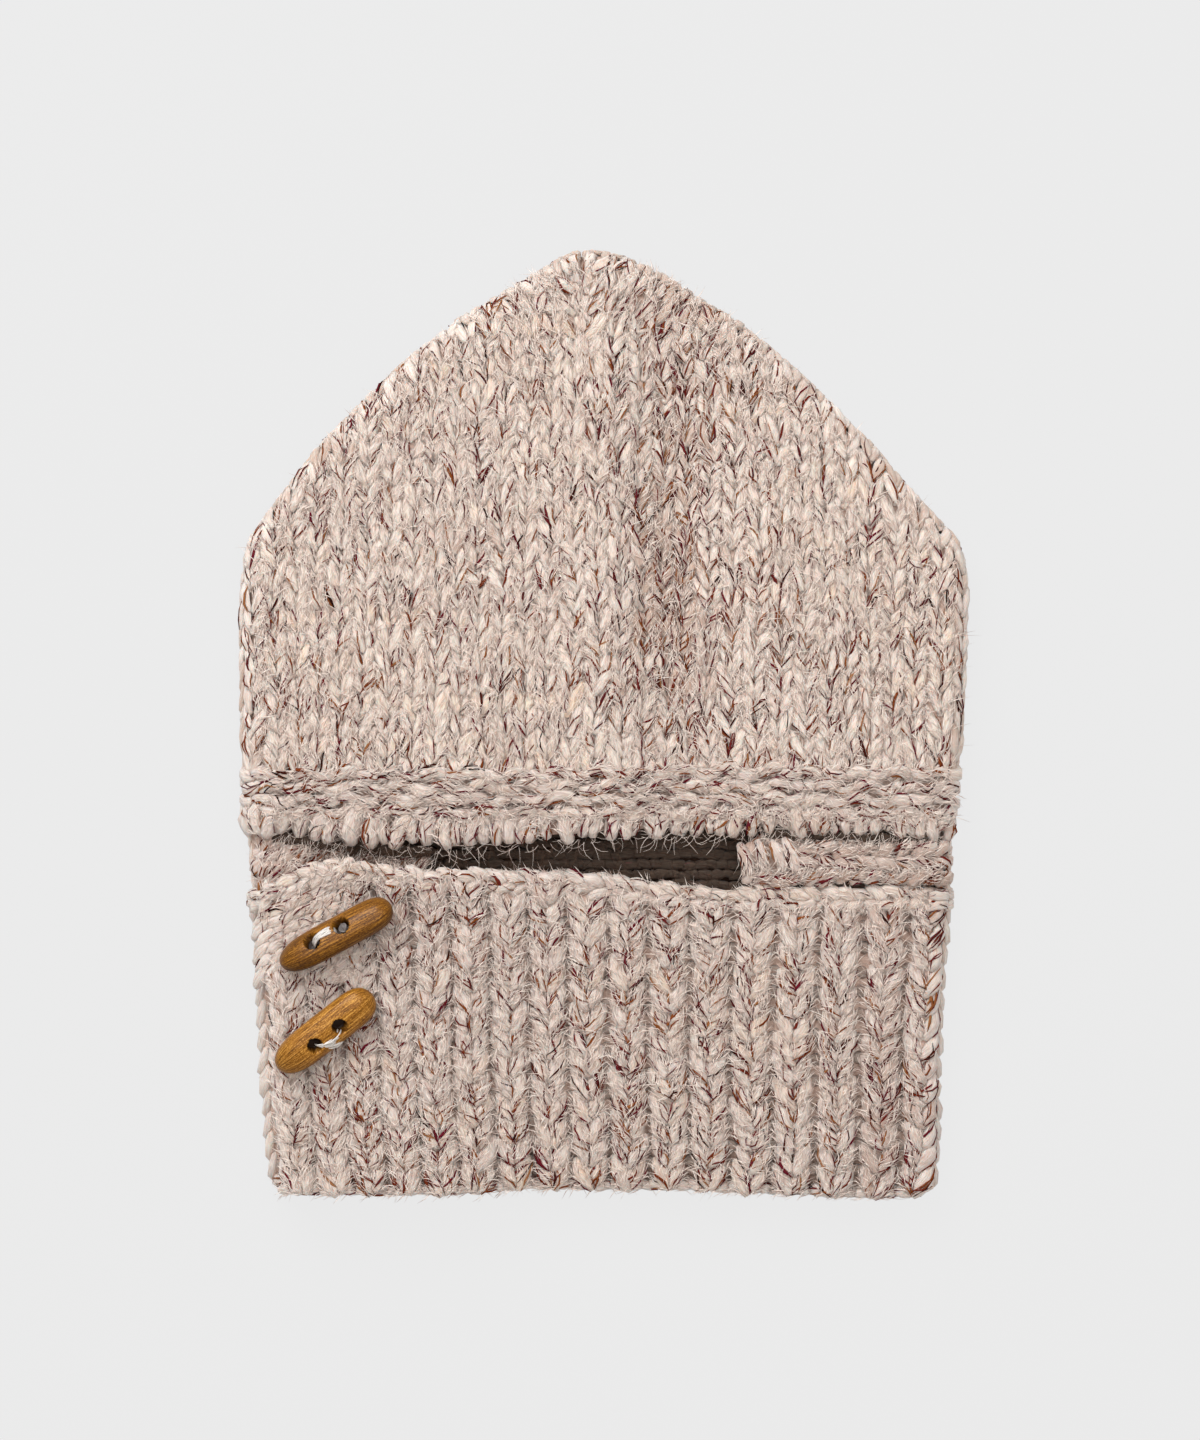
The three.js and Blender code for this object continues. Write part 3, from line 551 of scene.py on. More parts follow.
hood_wool = marled_wool("hood_wool", 1.07, (0.99, 1.01, 1.0))
matted_wool = backing_wool("matted_wool", (170, 140, 126), (222, 198, 184))
dark_hairs = single_hairs("dark_hairs", [
    (0.0, (40, 18, 12)), (0.12, (72, 28, 22)), (0.38, (98, 24, 40)), (0.62, (104, 42, 24)),
    (0.85, (128, 72, 36)), (1.0, (150, 104, 68)),
], {"Roughness": 0.9, "Specular IOR Level": 0.05})
pale_hairs = single_hairs("pale_hairs", [
    (0.0, (190, 164, 154)), (0.3, (242, 225, 214)), (1.0, (250, 240, 231)),
], {"Roughness": 0.7, "Specular IOR Level": 0.1, "Sheen Weight": 0.2})


def read_edge(table, at, column=1):
    """Straight lines between the rows of an outline table, read at the given places."""
    return np.interp(at, table[:, 0], table[:, column])


def hood_wall(inset):
    """Rings round the flattened pouch from the rim to the peak, inset from its outside: a half
    circle at either fold and level runs between them. Near the peak they draw together."""
    bend = np.linspace(-math.pi / 2, math.pi / 2, 17)
    run = np.linspace(1, -1, 57)[1:-1]
    side = np.concatenate([np.ones(17), run, -np.ones(17), -run])
    cos = np.concatenate([np.cos(bend), 0 * run, -np.cos(bend), 0 * run])
    sin = np.concatenate([np.sin(bend), 0 * run + 1, -np.sin(bend), 0 * run - 1])
    rim = np.where(sin > 0, HOOD_RIM_FRONT - 1.0, HOOD_RIM_BACK)
    share = np.linspace(0, 1, 34)
    y = rim[None] + (HOOD_TOP - rim[None]) * share[:, None]
    left = read_edge(HOOD_EDGE, y)
    right = read_edge(HOOD_EDGE, y, 2)
    slant = 1 + 0.45 * np.clip((y - 60) / 8, 0, 1)
    reach = np.maximum((right - left) / 2 - inset * slant, 1.0)
    bulge = np.minimum(1, reach / 16)
    fold = np.minimum((FOLD_RADIUS - inset) * slant, 0.98 * reach)
    x = (left + right) / 2 + (reach - fold) * side + fold * cos
    z = FOLD_RADIUS + (FOLD_RADIUS - inset) * bulge * sin
    z = z + np.where(sin > 0, hood_relief(x, y) * 0.9 * sin, 0)
    return np.stack([x, y, z], axis=-1)


# the inner side from the peak down to the rim, then the outer side back up to the peak
wall_rings = np.concatenate([hood_wall(inset=6.2)[::-1], hood_wall(inset=3.1)])[:, ::-1]
put_wall("hood_backing", wall_rings, matted_wool, "hood")

leg_run = np.linspace(0, 1, 5)
HOOD_STEP = 0.15 + 4.1 * leg_run ** 0.8
HOOD_CLIMB = COURSE * (-0.78 + 1.56 * leg_run)
HOOD_LIFT = 0.35 - 0.85 * leg_run ** 2 - 0.4 * (1 - leg_run) ** 6
HOOD_WIDE = 2.3 * (0.42 + 0.58 * np.sin(math.pi * (0.06 + 0.84 * leg_run ** 1.2)) ** 0.7)
HOOD_THICK = HOOD_WIDE * 0.54


def hood_stitches(face, reach):
    """Wales at even steps across and courses at even steps up, bent a little: near the peak
    the wales lean in and the courses droop away from the seam."""
    rim = HOOD_RIM_FRONT if face > 0 else HOOD_RIM_BACK
    across = np.arange(-22, 23)
    rows = np.arange(0, 28 if face > 0 else 34)
    course, wale = np.meshgrid(rows, across, indexing="ij")
    course, wale = course.ravel().astype(float), wale.ravel().astype(float)
    u = HOOD_SEAM_X + 5.0 + wale * WALE
    v = rim + 0.12 * COURSE + course * COURSE
    gather = np.clip((v - GATHER_Y) / 60, 0, 1) ** 1.5
    from_seam = u - HOOD_SEAM_X
    u = u - 0.20 * from_seam * gather
    v = v - gather * (np.abs(from_seam) / 30) ** 1.6 * 2.0
    u = u + 0.9 * np.sin(v / 31 + wale * 0.8) + 0.5 * np.sin(v / 13 + wale * 2.1)
    v = v + 0.7 * np.sin(u / 23 + course * 0.7)
    drawn = np.clip((v - SEAM_Y) / 16, 0, 1)
    u = u + 1.5 * np.sign(from_seam) * drawn
    lean = -0.20 * np.sign(from_seam) * (gather + 1.6 * drawn)
    inside, _ = hood_edge_distance(u, v)
    keep = inside > FOLD_RADIUS - reach
    return u[keep], v[keep], lean[keep], course[keep], wale[keep]


def hood_legs(face, reach, sides, pick):
    """Both legs of every stitch on one face of the hood, with small uneven turns and sizes."""
    u, v, lean, course, wale = hood_stitches(face, reach)
    count = len(u)
    groups = []
    for side in (-1, 1):
        turn = lean + RNG.normal(0, 0.12, count)
        size = RNG.normal(1.0, 0.08, count)
        groups.append(lay_legs(
            lambda a, b, lift: lay_on_hood(a, b, lift, face),
            u + RNG.normal(0, 0.35, count), v + RNG.normal(0, 0.4, count), turn,
            side * HOOD_STEP[pick], HOOD_CLIMB[pick], HOOD_LIFT[pick],
            HOOD_WIDE[pick], HOOD_THICK[pick], sides, size,
        ))
    inside, _ = hood_edge_distance(u, v)
    # painted shade: darker tint near the outline, over the folds, and on the front in the valley
    tint = marl_tint(course, wale, 1.0 + face) - 0.4 * np.clip(1 - inside / FOLD_RADIUS, 0, 1)
    if face > 0:
        tint = tint - 0.5 * round_patch(u, v, *VALLEY_SHADE)
    tint = np.concatenate([tint, tint]) + RNG.normal(0, 0.06, 2 * count)
    return join_legs(groups), tint


def put_legs(name, legs, tint, material, replaced):
    """A set of strands as one piece, with one tint to each strand."""
    start, end = poles(legs)
    put_piece(name, legs["rings"], start, end, material, tint, replaced)


front_legs, front_tint = hood_legs(face=1, reach=18.0, sides=6, pick=slice(None))
on_left = front_legs["centre"][:, 2, 0] < HOOD_SEAM_X
halves = [
    (part, {key: rows[here] for key, rows in front_legs.items()}, front_tint[here])
    for part, here in (("left", on_left), ("right", ~on_left))
]
for part, legs, tint in halves:
    put_legs("hood_stitches_front_" + part, legs, tint, hood_wool, "hood")
back_legs, back_tint = hood_legs(face=-1, reach=12.0, sides=5, pick=slice(None, None, 2))
put_legs("hood_stitches_back", back_legs, back_tint, hood_wool, "hood")
# the extra dark hairs in the valley are painted shade
put_flecks("hood_dark_hairs_front", front_legs, 2300, 0.285, dark_hairs, "hood",
           valley=1.3)
put_flecks("hood_dark_hairs_back", back_legs, 500, 0.22, dark_hairs, "hood")
for part, legs, _ in halves:
    put_hairs("hood_pale_hairs_front_" + part, legs, 17000, 0.145, (3.0, 7.0), 0.8, pale_hairs,
              "hood")
put_hairs("hood_pale_hairs_back", back_legs, 1000, 0.13, (3.0, 6.5), 0.9, pale_hairs,
          "hood")

# The face band: four purl-side rows knitted on along the hood's front rim, then a bound-off
# edge of plump loops. It turns at both folds and comes back below the opening as two cheeks;
# between them and the edge is a narrow gap in deep shade. The cheeks and the gap's stitches
# are darkened in colour as painted shade.
BROW_EDGE = np.array([
    # x, lower edge
    (-126.0, -37.0), (-117.0, -36.8), (-92.4, -41.6), (-60.9, -42.8), (-24.9, -41.6),
    (-1.4, -39.5), (33.6, -38.2), (60.0, -36.6), (95.0, -37.6), (122.9, -40.4),
])
RIGHT_CHEEK = np.array([
    # x, upper edge, lower edge
    (46.0, -43.5, -54.0), (49.5, -40.2, -55.8), (60.0, -37.4, -56.1), (95.0, -38.4, -56.2),
    (113.0, -39.8, -56.2), (130.0, -39.2, -56.2),
])
LEFT_CHEEK = np.array([
    # x, upper edge, lower edge
    (-130.0, -35.8, -53.6), (-117.0, -37.2, -53.6), (-104.0, -40.2, -53.8),
    (-90.0, -42.8, -54.0), (-66.0, -44.0, -53.6), (-63.0, -46.0, -51.0),
])
BAND_ROWS_Y = (-17.0, -21.5, -26.1, -30.6)
BAND_ROW = 4.5
BAND_LOBE = 7.4
CHEEK_END_X = 132.0
CHEEK_START_X = -134.0
band_wool = marled_wool("band_wool", 0.95)

lobe_run = np.linspace(-1, 1, 7)
LOBE_STEP = 5.2 * lobe_run
LOBE_BOW = 0.8 * np.cos(lobe_run * math.pi / 2) - 0.4
LOBE_LIFT = 0.5 - 2.0 * lobe_run ** 4
LOBE_WIDE = 2.45 * (0.42 + 0.58 * np.cos(lobe_run * 1.35) ** 0.7)


def band_row(x, y, turn, bow, size=1.0, long=1.0, rise=0.0, lay=lay_on_hood):
    """Plump lobes at the given places: each a short bowed strand with both ends dipping."""
    count = len(x)
    turn = turn + RNG.normal(0, 0.13, count)
    sizes = size * RNG.normal(1.0, 0.09, count)
    return lay_legs(
        lay, x + RNG.normal(0, 0.4, count), y + RNG.normal(0, 0.4, count), turn,
        LOBE_STEP * long, LOBE_BOW * np.reshape(bow, (-1, 1)), LOBE_LIFT + rise,
        LOBE_WIDE, LOBE_WIDE * 0.9, 6, sizes,
    )


brow_sets = []
for row, row_y in enumerate(BAND_ROWS_Y):
    lobe_x = np.arange(CHEEK_START_X + (row % 2) * BAND_LOBE / 2, CHEEK_END_X, BAND_LOBE)
    tilt = 0.16 * np.sin(lobe_x / 17.0 + 2.0 * row)
    sag = 0.9 * np.sin(lobe_x / 37.0 + row)
    bow = 2.4 * (-1.0) ** np.arange(len(lobe_x))
    brow_sets.append(band_row(lobe_x, row_y + sag * 0.5, tilt, bow, long=0.95,
                              rise=0.5 * math.sin(math.pi * (row + 1) / 6)))
share = np.linspace(0, 1, 62)
bind_x = -131.0 + 262.0 * (share * 1.22 - 0.22 * share ** 2) + RNG.normal(0, 0.8, len(share))
bind_low = read_edge(BROW_EDGE, bind_x)
bind_size = np.interp(bind_x, [-130, -40, 130], [1.12, 1.0, 0.9])
brow_sets.append(lay_legs(
    lay_on_hood, bind_x, (bind_low - 31.5) / 2 + 1.0 + RNG.normal(0, 0.5, len(bind_x)),
    RNG.normal(1.35, 0.28, len(bind_x)), LOBE_STEP * 0.98, LOBE_BOW * 1.3,
    LOBE_LIFT * 0.7 + RNG.normal(0.3, 0.3, (len(bind_x), 1)), LOBE_WIDE * 1.15,
    LOBE_WIDE * 0.9, 6, bind_size * RNG.normal(1.0, 0.12, len(bind_x)),
))
chain_x = np.arange(70.0, CHEEK_END_X, 7.0)
top_x = np.arange(56.0, CHEEK_END_X, 7.2)
rope_x = np.arange(68.0, CHEEK_END_X, 5.2)
block_x = np.array([49.2, 54.6, 60.0, 65.4])
block_y = np.array([-47.4, -46.6, -46.2, -46.4])
left_x = np.arange(CHEEK_START_X, -64.0, 4.9)
left_high = read_edge(LEFT_CHEEK, left_x)
fold_x = np.arange(CHEEK_START_X, -106.0, 4.9)
CHEEK_ROWS = [
    # places, heights, turn, bow, size, length, rise
    (chain_x, -44.0, 0.42, 0.5, 1.0, 0.85, -0.9),  # chain of sideways V stitches: upper legs
    (chain_x, -48.2, -0.42, 0.5, 1.0, 0.85, -0.5),  # its lower legs
    (top_x, -41.2, 0.05, 0.8, 0.85, 1.0, -3.4),  # sunk row over the chain
    (rope_x, -53.0, 0.62, 0.4, 0.95, 0.8, 0.0),  # rope along the lower edge
    (block_x, block_y, -1.22, 0.7, 1.12, 1.25, 0.2),  # upright block that ends the band
    (block_x + 2.2, -53.6, 0.3, 0.4, 0.95, 0.7, 0.0),  # the block's foot
    (left_x, left_high - 5.2, 0.62, 0.5, 1.05, 0.95, -4.6),  # left cheek: upper row
    (left_x + 2.0, left_high - 9.8, 0.55, 0.5, 1.05, 0.9, -3.2),  # its lower row
    (fold_x, -50.6, 0.7, 0.5, 1.0, 0.85, -1.6),  # at the left fold, over the flap's end
    (fold_x + 2.4, -56.0, 1.0, 0.5, 1.0, 0.85, -2.2),  # and below it
]
cheek_sets = [band_row(*row) for row in CHEEK_ROWS]
brow_count = sum(len(legs["centre"]) for legs in brow_sets)
band_legs = join_legs(brow_sets + cheek_sets)
band_count = len(band_legs["centre"])
band_middle = band_legs["centre"][:, 3]
band_tint = marl_tint(band_middle[:, 1] / BAND_ROW, band_middle[:, 0] / BAND_LOBE, 3.0)
# painted shade: the cheek stitches under the band's edge get a darker tint
band_tint -= 0.42 * (np.arange(band_count) >= brow_count)
put_legs("face_band_stitches", band_legs, band_tint, band_wool, "face_band")
put_flecks("face_band_dark_hairs", band_legs, 800, 0.28, dark_hairs, "face_band")
put_hairs("face_band_pale_hairs", band_legs, 10000, 0.145, (3.0, 6.5), 1.2, pale_hairs,
          "face_band")


def put_edge_fuzz(name, x, y, z, way, material, replaced):
    """Fine hairs standing off an edge: each starts at its root with the heading way, turns a
    little at each of four even steps and wanders up or down from the height z."""
    count = len(x)
    run = np.linspace(0, 1, 4)[None]
    length = RNG.uniform(3.0, 8.0, count)[:, None]
    heading = way[:, None] + RNG.normal(0, 1.4, count)[:, None] * run
    step = length / 3
    centre = np.stack([
        x[:, None] + np.cumsum(np.cos(heading), axis=1) * step,
        y[:, None] + np.cumsum(np.sin(heading), axis=1) * step,
        z + RNG.uniform(-2.0, 0.6, count)[:, None] + RNG.normal(0, 1.2, count)[:, None] * run,
    ], axis=-1)
    slim = RNG.uniform(0.04, 0.08, count)[:, None] * np.array([1.0, 1.0, 0.9, 0.6])
    rings, _, _ = strand_rings(centre, np.broadcast_to([0.0, 0.1, 1.0], centre.shape), slim,
                               slim, 3)
    start, end = poles({"centre": centre}, 0.1)
    put_piece(name, rings, start, end, material, RNG.uniform(0, 0.8, count), replaced)


DOWNWARD = -math.pi / 2
SHADE_FUZZ_Z, PALE_FUZZ_Z = 18.6, 20.2
shade_hairs = single_hairs("shade_hairs", [
    (0.0, (26, 16, 11)), (0.3, (54, 38, 28)), (1.0, (116, 90, 74)),
], {"Roughness": 0.7, "Specular IOR Level": 0.1})
# dark hairs along the whole edge, and more of them over each cheek: partly real fuzz, partly
# painted shade under the edge
edge_x = np.concatenate([RNG.uniform(-108, 112, 200), RNG.uniform(-104, -62, 250),
                         RNG.uniform(56, 112, 200)])
put_edge_fuzz("face_band_edge_fuzz", edge_x,
              read_edge(BROW_EDGE, edge_x) + RNG.normal(0.2, 0.6, len(edge_x)), SHADE_FUZZ_Z,
              DOWNWARD + RNG.normal(0, 0.9, len(edge_x)), shade_hairs, "face_band")
# stitches in the gap right under the bound-off edge, in wool painted near black as shade, sunk
# deeper over the left cheek
GAP_DROP, GAP_LEFT_RISE, GAP_RIGHT_RISE = 1.5, -3.4, -1.9
DEEP_SHADE = (1.0, 0.80, 0.66)
gap_x = np.concatenate([np.arange(-113.0, -60.0, 4.2), np.arange(58.0, 119.0, 4.2)])
gap_rise = np.where(gap_x < 0, GAP_LEFT_RISE, GAP_RIGHT_RISE)[:, None]
gap_legs = band_row(gap_x, read_edge(BROW_EDGE, gap_x) - GAP_DROP, 0.1, 0.6, size=0.8,
                    long=0.8, rise=gap_rise)
gap_shade_wool = marled_wool("gap_shade_wool", 0.10, DEEP_SHADE)
put_legs("face_band_gap_stitches", gap_legs, np.full(len(gap_x), 0.4), gap_shade_wool, "face_band")
edge_x = RNG.uniform(-114, 112, 240)
put_edge_fuzz("face_band_pale_fuzz", edge_x, read_edge(BROW_EDGE, edge_x) + 1.2, PALE_FUZZ_Z,
              DOWNWARD + RNG.normal(0, 1.0, len(edge_x)), pale_hairs, "face_band")


def band_backing(name, x, high, low, outer, inner):
    """Matted wall behind a band: a flat loop at every place along it, between the lifts of
    its outer and inner side and a little inside its high and low edge."""
    span = np.array([1.0, 0.5, 0.0, 0.0, 0.5, 1.0])
    lift = np.array([outer, outer, outer, inner, inner, inner])
    u = np.broadcast_to(x[:, None], (len(x), 6))
    v = low[:, None] + 2.8 + (high - low - 3.8)[:, None] * span
    loops, _ = lay_on_hood(u, v, np.broadcast_to(lift, u.shape))
    put_wall(name, loops, matted_wool, "face_band")


brow_x = np.linspace(-133.0, 131.0, 90)
band_backing("face_band_brow_backing", brow_x, np.full_like(brow_x, HOOD_RIM_FRONT - 0.6),
             read_edge(BROW_EDGE, brow_x), outer=-1.4, inner=-4.6)
cheek_x = np.linspace(48.0, 131.0, 36)
band_backing("face_band_right_backing", cheek_x, read_edge(RIGHT_CHEEK, cheek_x),
             read_edge(RIGHT_CHEEK, cheek_x, 2), outer=-1.6, inner=-4.6)
cheek_x = np.linspace(-133.0, -64.0, 32)
band_backing("face_band_left_backing", cheek_x, read_edge(LEFT_CHEEK, cheek_x),
             read_edge(LEFT_CHEEK, cheek_x, 2), outer=-5.8, inner=-7.0)

# The hood's back wall, seen through the opening: the purl side of the same cloth, half a
# course to each row of bumps, in the shade of the front. Its wool and the felt behind it are
# near black as painted shade.
INSIDE_Z = 6.2
shade_wool = marled_wool("shade_wool", 0.11, DEEP_SHADE)
shade_felt = backing_wool("shade_felt", (24, 14, 9), (46, 30, 21))


def lay_inside(u, v, lift):
    """Flat place on the upper side of the hood's back wall."""
    place = np.stack([u, v, INSIDE_Z + lift + np.zeros_like(u)], axis=-1)
    return place, np.broadcast_to([0.0, 0.0, 1.0], place.shape)


felt_x = np.linspace(-90.0, 72.0, 12)[:, None] * np.ones((1, 4))
felt_y = np.array([-14.0, -58.0, -58.0, -14.0]) * np.ones((12, 1))
felt_rings, _ = lay_inside(felt_x, felt_y, np.array([0.3, 0.3, -1.2, -1.2]))
put_wall("hood_inside_backing", felt_rings, shade_felt, "hood")

inside_x, inside_y = np.meshgrid(np.arange(-84.0, 66.0, WALE / 2),
                                 np.arange(-20.0, -58.0, -COURSE / 2))
inside_x = inside_x + WALE / 4 * (np.round(inside_y / (COURSE / 2)) % 2)
inside_legs = band_row(inside_x.ravel(), inside_y.ravel(), 0.0, 1.2, size=0.8, long=0.85,
                       lay=lay_inside)
put_legs("hood_purl_side", inside_legs, np.full(inside_x.size, 0.45), shade_wool, "hood")

# The neck collar: one strip of chunky rib. It starts as an underlap, goes round the left
# fold, the back and the right fold, and comes across the front, where its lower right corner
# sinks towards the table, to end as the flap with the toggles.
COLLAR_EDGE = np.array([
    # y, left edge, right edge
    (-166.0, -115.4, 115.4), (-159.0, -116.9, 117.3), (-145.0, -118.9, 118.7),
    (-117.0, -121.0, 118.9), (-96.0, -121.8, 119.6), (-82.0, -122.2, 120.9),
    (-61.0, -124.4, 122.2), (-47.0, -124.8, 122.6),
])
LIP = np.array([
    # x, upper edge of the collar's front
    (-118.7, -66.0), (-113.8, -58.6), (-106.4, -51.6), (-99.4, -48.3), (-88.9, -47.6),
    (-71.4, -48.8), (-59.5, -50.2), (-15.4, -51.0), (8.4, -53.0), (14.4, -54.6),
    (44.8, -57.6), (55.0, -56.8), (122.5, -56.6),
])
HEM = np.array([
    # x, lower edge
    (-118.0, -160.8), (-113.0, -162.9), (-97.0, -163.4), (-42.0, -163.2), (-30.0, -162.4),
    (31.0, -162.8), (48.0, -163.9), (76.0, -164.8), (90.0, -165.6), (104.0, -165.6),
    (115.5, -163.6), (118.0, -161.8),
])
COLLAR_WALL = 7.6
RIB_DEPTH = 3.4
COLLAR_COURSE = 7.7
FIRST_COURSE, TOP_MARGIN = 5.9, 6.2
BACK_Z, FRONT_Z, FLAP_Z, UNDER_Z = 3.8, 16.8, 24.6, 16.5
UNDERLAP_X, FLAP_END_X = -66.0, -116.0
BACK_TOP_Y, UNDERLAP_TOP_Y = -57.3, -55.6
HIDDEN_RIBS, FRONT_GROOVES = 24, 14
# left of and above this place the flap's upper corner has slanting rows of its own
CORNER_X, CORNER_Y = -92.0, -84.0
FLAP_RISE_X, FLAP_RISE_RUN = -24.0, 37.0
CORNER_SINK = 3.6
# middle x and y, half width and half height of the painted shade patch by the flap's upper corner
FLAP_SHADE = (-77.0, -69.0, 26.0, 9.0)
# the strip is wound to the width that the collar has at this height
WOUND_Y = -100.0
collar_left, collar_right = (read_edge(COLLAR_EDGE, WOUND_Y, column) for column in (1, 2))
LEFT_TURN, RIGHT_TURN = (UNDER_Z - BACK_Z) / 2, (FRONT_Z - BACK_Z) / 2
LEFT_PIVOT = collar_left + COLLAR_WALL / 2 + LEFT_TURN
RIGHT_PIVOT = collar_right - COLLAR_WALL / 2 - RIGHT_TURN
# lengths along the strip at which underlap, left fold, back, right fold and front end
RUNS = np.cumsum([0.0, UNDERLAP_X - LEFT_PIVOT, math.pi * LEFT_TURN, RIGHT_PIVOT - LEFT_PIVOT,
                  math.pi * RIGHT_TURN, RIGHT_PIVOT - FLAP_END_X])


def front_groove_x(number):
    """Place on the front of a groove, counted from the flap: each rib a little wider."""
    return -90.65 + 12.21 * number + 0.124 * number ** 2


def rib_grooves():
    """Lengths along the strip at which two ribs meet: even in the hidden part, and on the
    front wider and wider away from the flap."""
    hidden = np.linspace(0, RUNS[4] + RIGHT_PIVOT - front_groove_x(FRONT_GROOVES),
                         HIDDEN_RIBS + 1)
    front = RUNS[4] + RIGHT_PIVOT - front_groove_x(np.arange(FRONT_GROOVES - 1, -1, -1))
    return np.concatenate([hidden, front, [(front[-1] + RUNS[5]) / 2, RUNS[5]]])


GROOVES = rib_grooves()


def lay_on_collar(s, y, lift):
    """Length s along the strip, height y and lift off the ribs' yarn line, laid on the wound
    strip: two half circles at the folds, a little fuller than the solid's, level runs
    between, a smooth rise up to the flap, and a round sink at the lower right corner. Across
    each rib the yarn line falls from its crest to both grooves as a power of a sine, and the
    whole is stretched sideways at each height to the collar's outline."""
    turn_left = (s - RUNS[1]) / LEFT_TURN
    turn_right = (s - RUNS[3]) / RIGHT_TURN
    front_x = RIGHT_PIVOT - (s - RUNS[4])
    rise = np.clip((front_x - FLAP_RISE_X) / -FLAP_RISE_RUN, 0, 1)
    rise = rise * rise * (3 - 2 * rise)
    part = [s < RUNS[1], s < RUNS[2], s < RUNS[3], s < RUNS[4]]
    zero = np.zeros_like(s)
    nx = np.select(part, [zero, -np.sin(turn_left), zero, np.sin(turn_right)], zero)
    nz = np.select(part, [zero + 1, np.cos(turn_left), zero - 1, -np.cos(turn_right)], zero + 1)
    x = np.select(part, [UNDERLAP_X - s, LEFT_PIVOT + nx * LEFT_TURN, LEFT_PIVOT + s - RUNS[2],
                         RIGHT_PIVOT + nx * RIGHT_TURN], front_x)
    z = np.select(part, [zero + UNDER_Z, BACK_Z + LEFT_TURN + nz * LEFT_TURN, zero + BACK_Z,
                         BACK_Z + RIGHT_TURN + nz * RIGHT_TURN],
                  FRONT_Z + (FLAP_Z - FRONT_Z) * rise)
    rib = np.clip(np.searchsorted(GROOVES, s, side="right") - 1, 0, len(GROOVES) - 2)
    across = (s - GROOVES[rib]) / (GROOVES[rib + 1] - GROOVES[rib])
    crest = np.sin(math.pi * np.clip(across, 0, 1)) ** 0.55
    off = COLLAR_WALL / 2 - 2.2 - RIB_DEPTH * (1 - crest) + 1.1 * np.abs(nx) + lift
    edge = np.hypot(np.clip((-138 - y) / 27, 0, 1), np.clip((front_x - 78) / 40, 0, 1))
    sink = CORNER_SINK * np.clip(edge, 0, 1) ** 2 * (1 - rise)
    sink = sink * (s > RUNS[3]) * np.clip(nz, 0, 1)
    left = read_edge(COLLAR_EDGE, y)
    right = read_edge(COLLAR_EDGE, y, 2)
    scale = (right - left) / (collar_right - collar_left)
    x = (left + right) / 2 + (x + nx * off - (collar_left + collar_right) / 2) * scale
    return np.stack([x, y, z + nz * off - sink], axis=-1), np.stack([nx, zero, nz], axis=-1)


def strip_hem(s):
    """Lower edge of the strip at length s, as the hem lies in the photo's view."""
    place, _ = lay_on_collar(s, np.full_like(s, -150.0), np.zeros_like(s))
    return read_edge(HEM, place[..., 0])


def strip_top(s):
    """Upper edge of the strip at length s: the lip on the front, level on the underlap, and
    a little lower and level round the folds and the back."""
    front = read_edge(LIP, RIGHT_PIVOT - (s - RUNS[4]))
    hidden = (s > RUNS[1] + 0.3 * LEFT_TURN) & (s < RUNS[4] - 0.3 * RIGHT_TURN)
    return np.where(s >= RUNS[4], front, np.where(hidden, BACK_TOP_Y, UNDERLAP_TOP_Y))


collar_wool = marled_wool("collar_wool", 0.93)
rib_run = np.linspace(0, 1, 7)
COLLAR_STEP = -0.3 + 4.45 * np.sin(math.pi / 2 * rib_run) ** 0.9
COLLAR_CLIMB = -4.8 + 10.6 * rib_run ** 1.1
COLLAR_LIFT = 0.4 - 0.5 * (1 - rib_run) ** 5 - 1.25 * rib_run ** 2
COLLAR_WIDE = 3.0 * (0.5 + 0.5 * np.sin(math.pi * (0.07 + 0.86 * rib_run)) ** 0.7)


def rib_places(first_rib, last_rib, offset):
    """Middle of each rib, or a place offset from it by a share of the rib's width, and every
    course's height there, up to the strip's upper edge and without the flap's corner; from
    the second course on the heights waver by rib."""
    rib = np.arange(first_rib, last_rib)
    middle = (GROOVES[rib] + GROOVES[rib + 1]) / 2 + offset * (GROOVES[rib + 1] - GROOVES[rib])
    course = np.arange(0, 16)
    s, row = np.meshgrid(middle, course, indexing="ij")
    wide, _ = np.meshgrid(GROOVES[rib + 1] - GROOVES[rib], course, indexing="ij")
    waver = np.minimum(row, 1) * 1.1 * np.sin(s * 1.7)
    y = strip_hem(s) + FIRST_COURSE + row * COLLAR_COURSE + waver
    keep = y < strip_top(s) - TOP_MARGIN
    front_x = RIGHT_PIVOT - (s - RUNS[4])
    keep &= ~((front_x < CORNER_X) & (y > CORNER_Y))
    return s[keep], y[keep], row[keep], wide[keep]


def rib_legs(first_rib, last_rib, sides, pick):
    """Both legs of every V on the ribs, wider on the wider ribs; the tint is darker, as painted
    shade, at the right end where the collar falls away and in the patch by the flap's corner."""
    s, y, row, wide = rib_places(first_rib, last_rib, 0.0)
    count = len(s)
    groups = []
    for side in (-1, 1):
        groups.append(lay_legs(
            lay_on_collar, s + RNG.normal(0, 0.2, count), y + RNG.normal(0, 0.3, count),
            RNG.normal(0, 0.09, count), side * COLLAR_STEP[pick], COLLAR_CLIMB[pick],
            COLLAR_LIFT[pick], COLLAR_WIDE[pick], COLLAR_WIDE[pick] * 0.68, sides,
            RNG.normal(1.0, 0.06, count), wide / 14.0,
        ))
    front_x = RIGHT_PIVOT - (s - RUNS[4])
    # painted shade: darker tint at the right end and by the flap's corner
    tint = marl_tint(row, s / 12.0, 5.0) - 0.3 * np.exp(-((front_x - 100) / 12) ** 2)
    tint = tint - 0.4 * round_patch(front_x, y, *FLAP_SHADE)
    return join_legs(groups), np.concatenate([tint, tint]) + RNG.normal(0, 0.06, 2 * count)


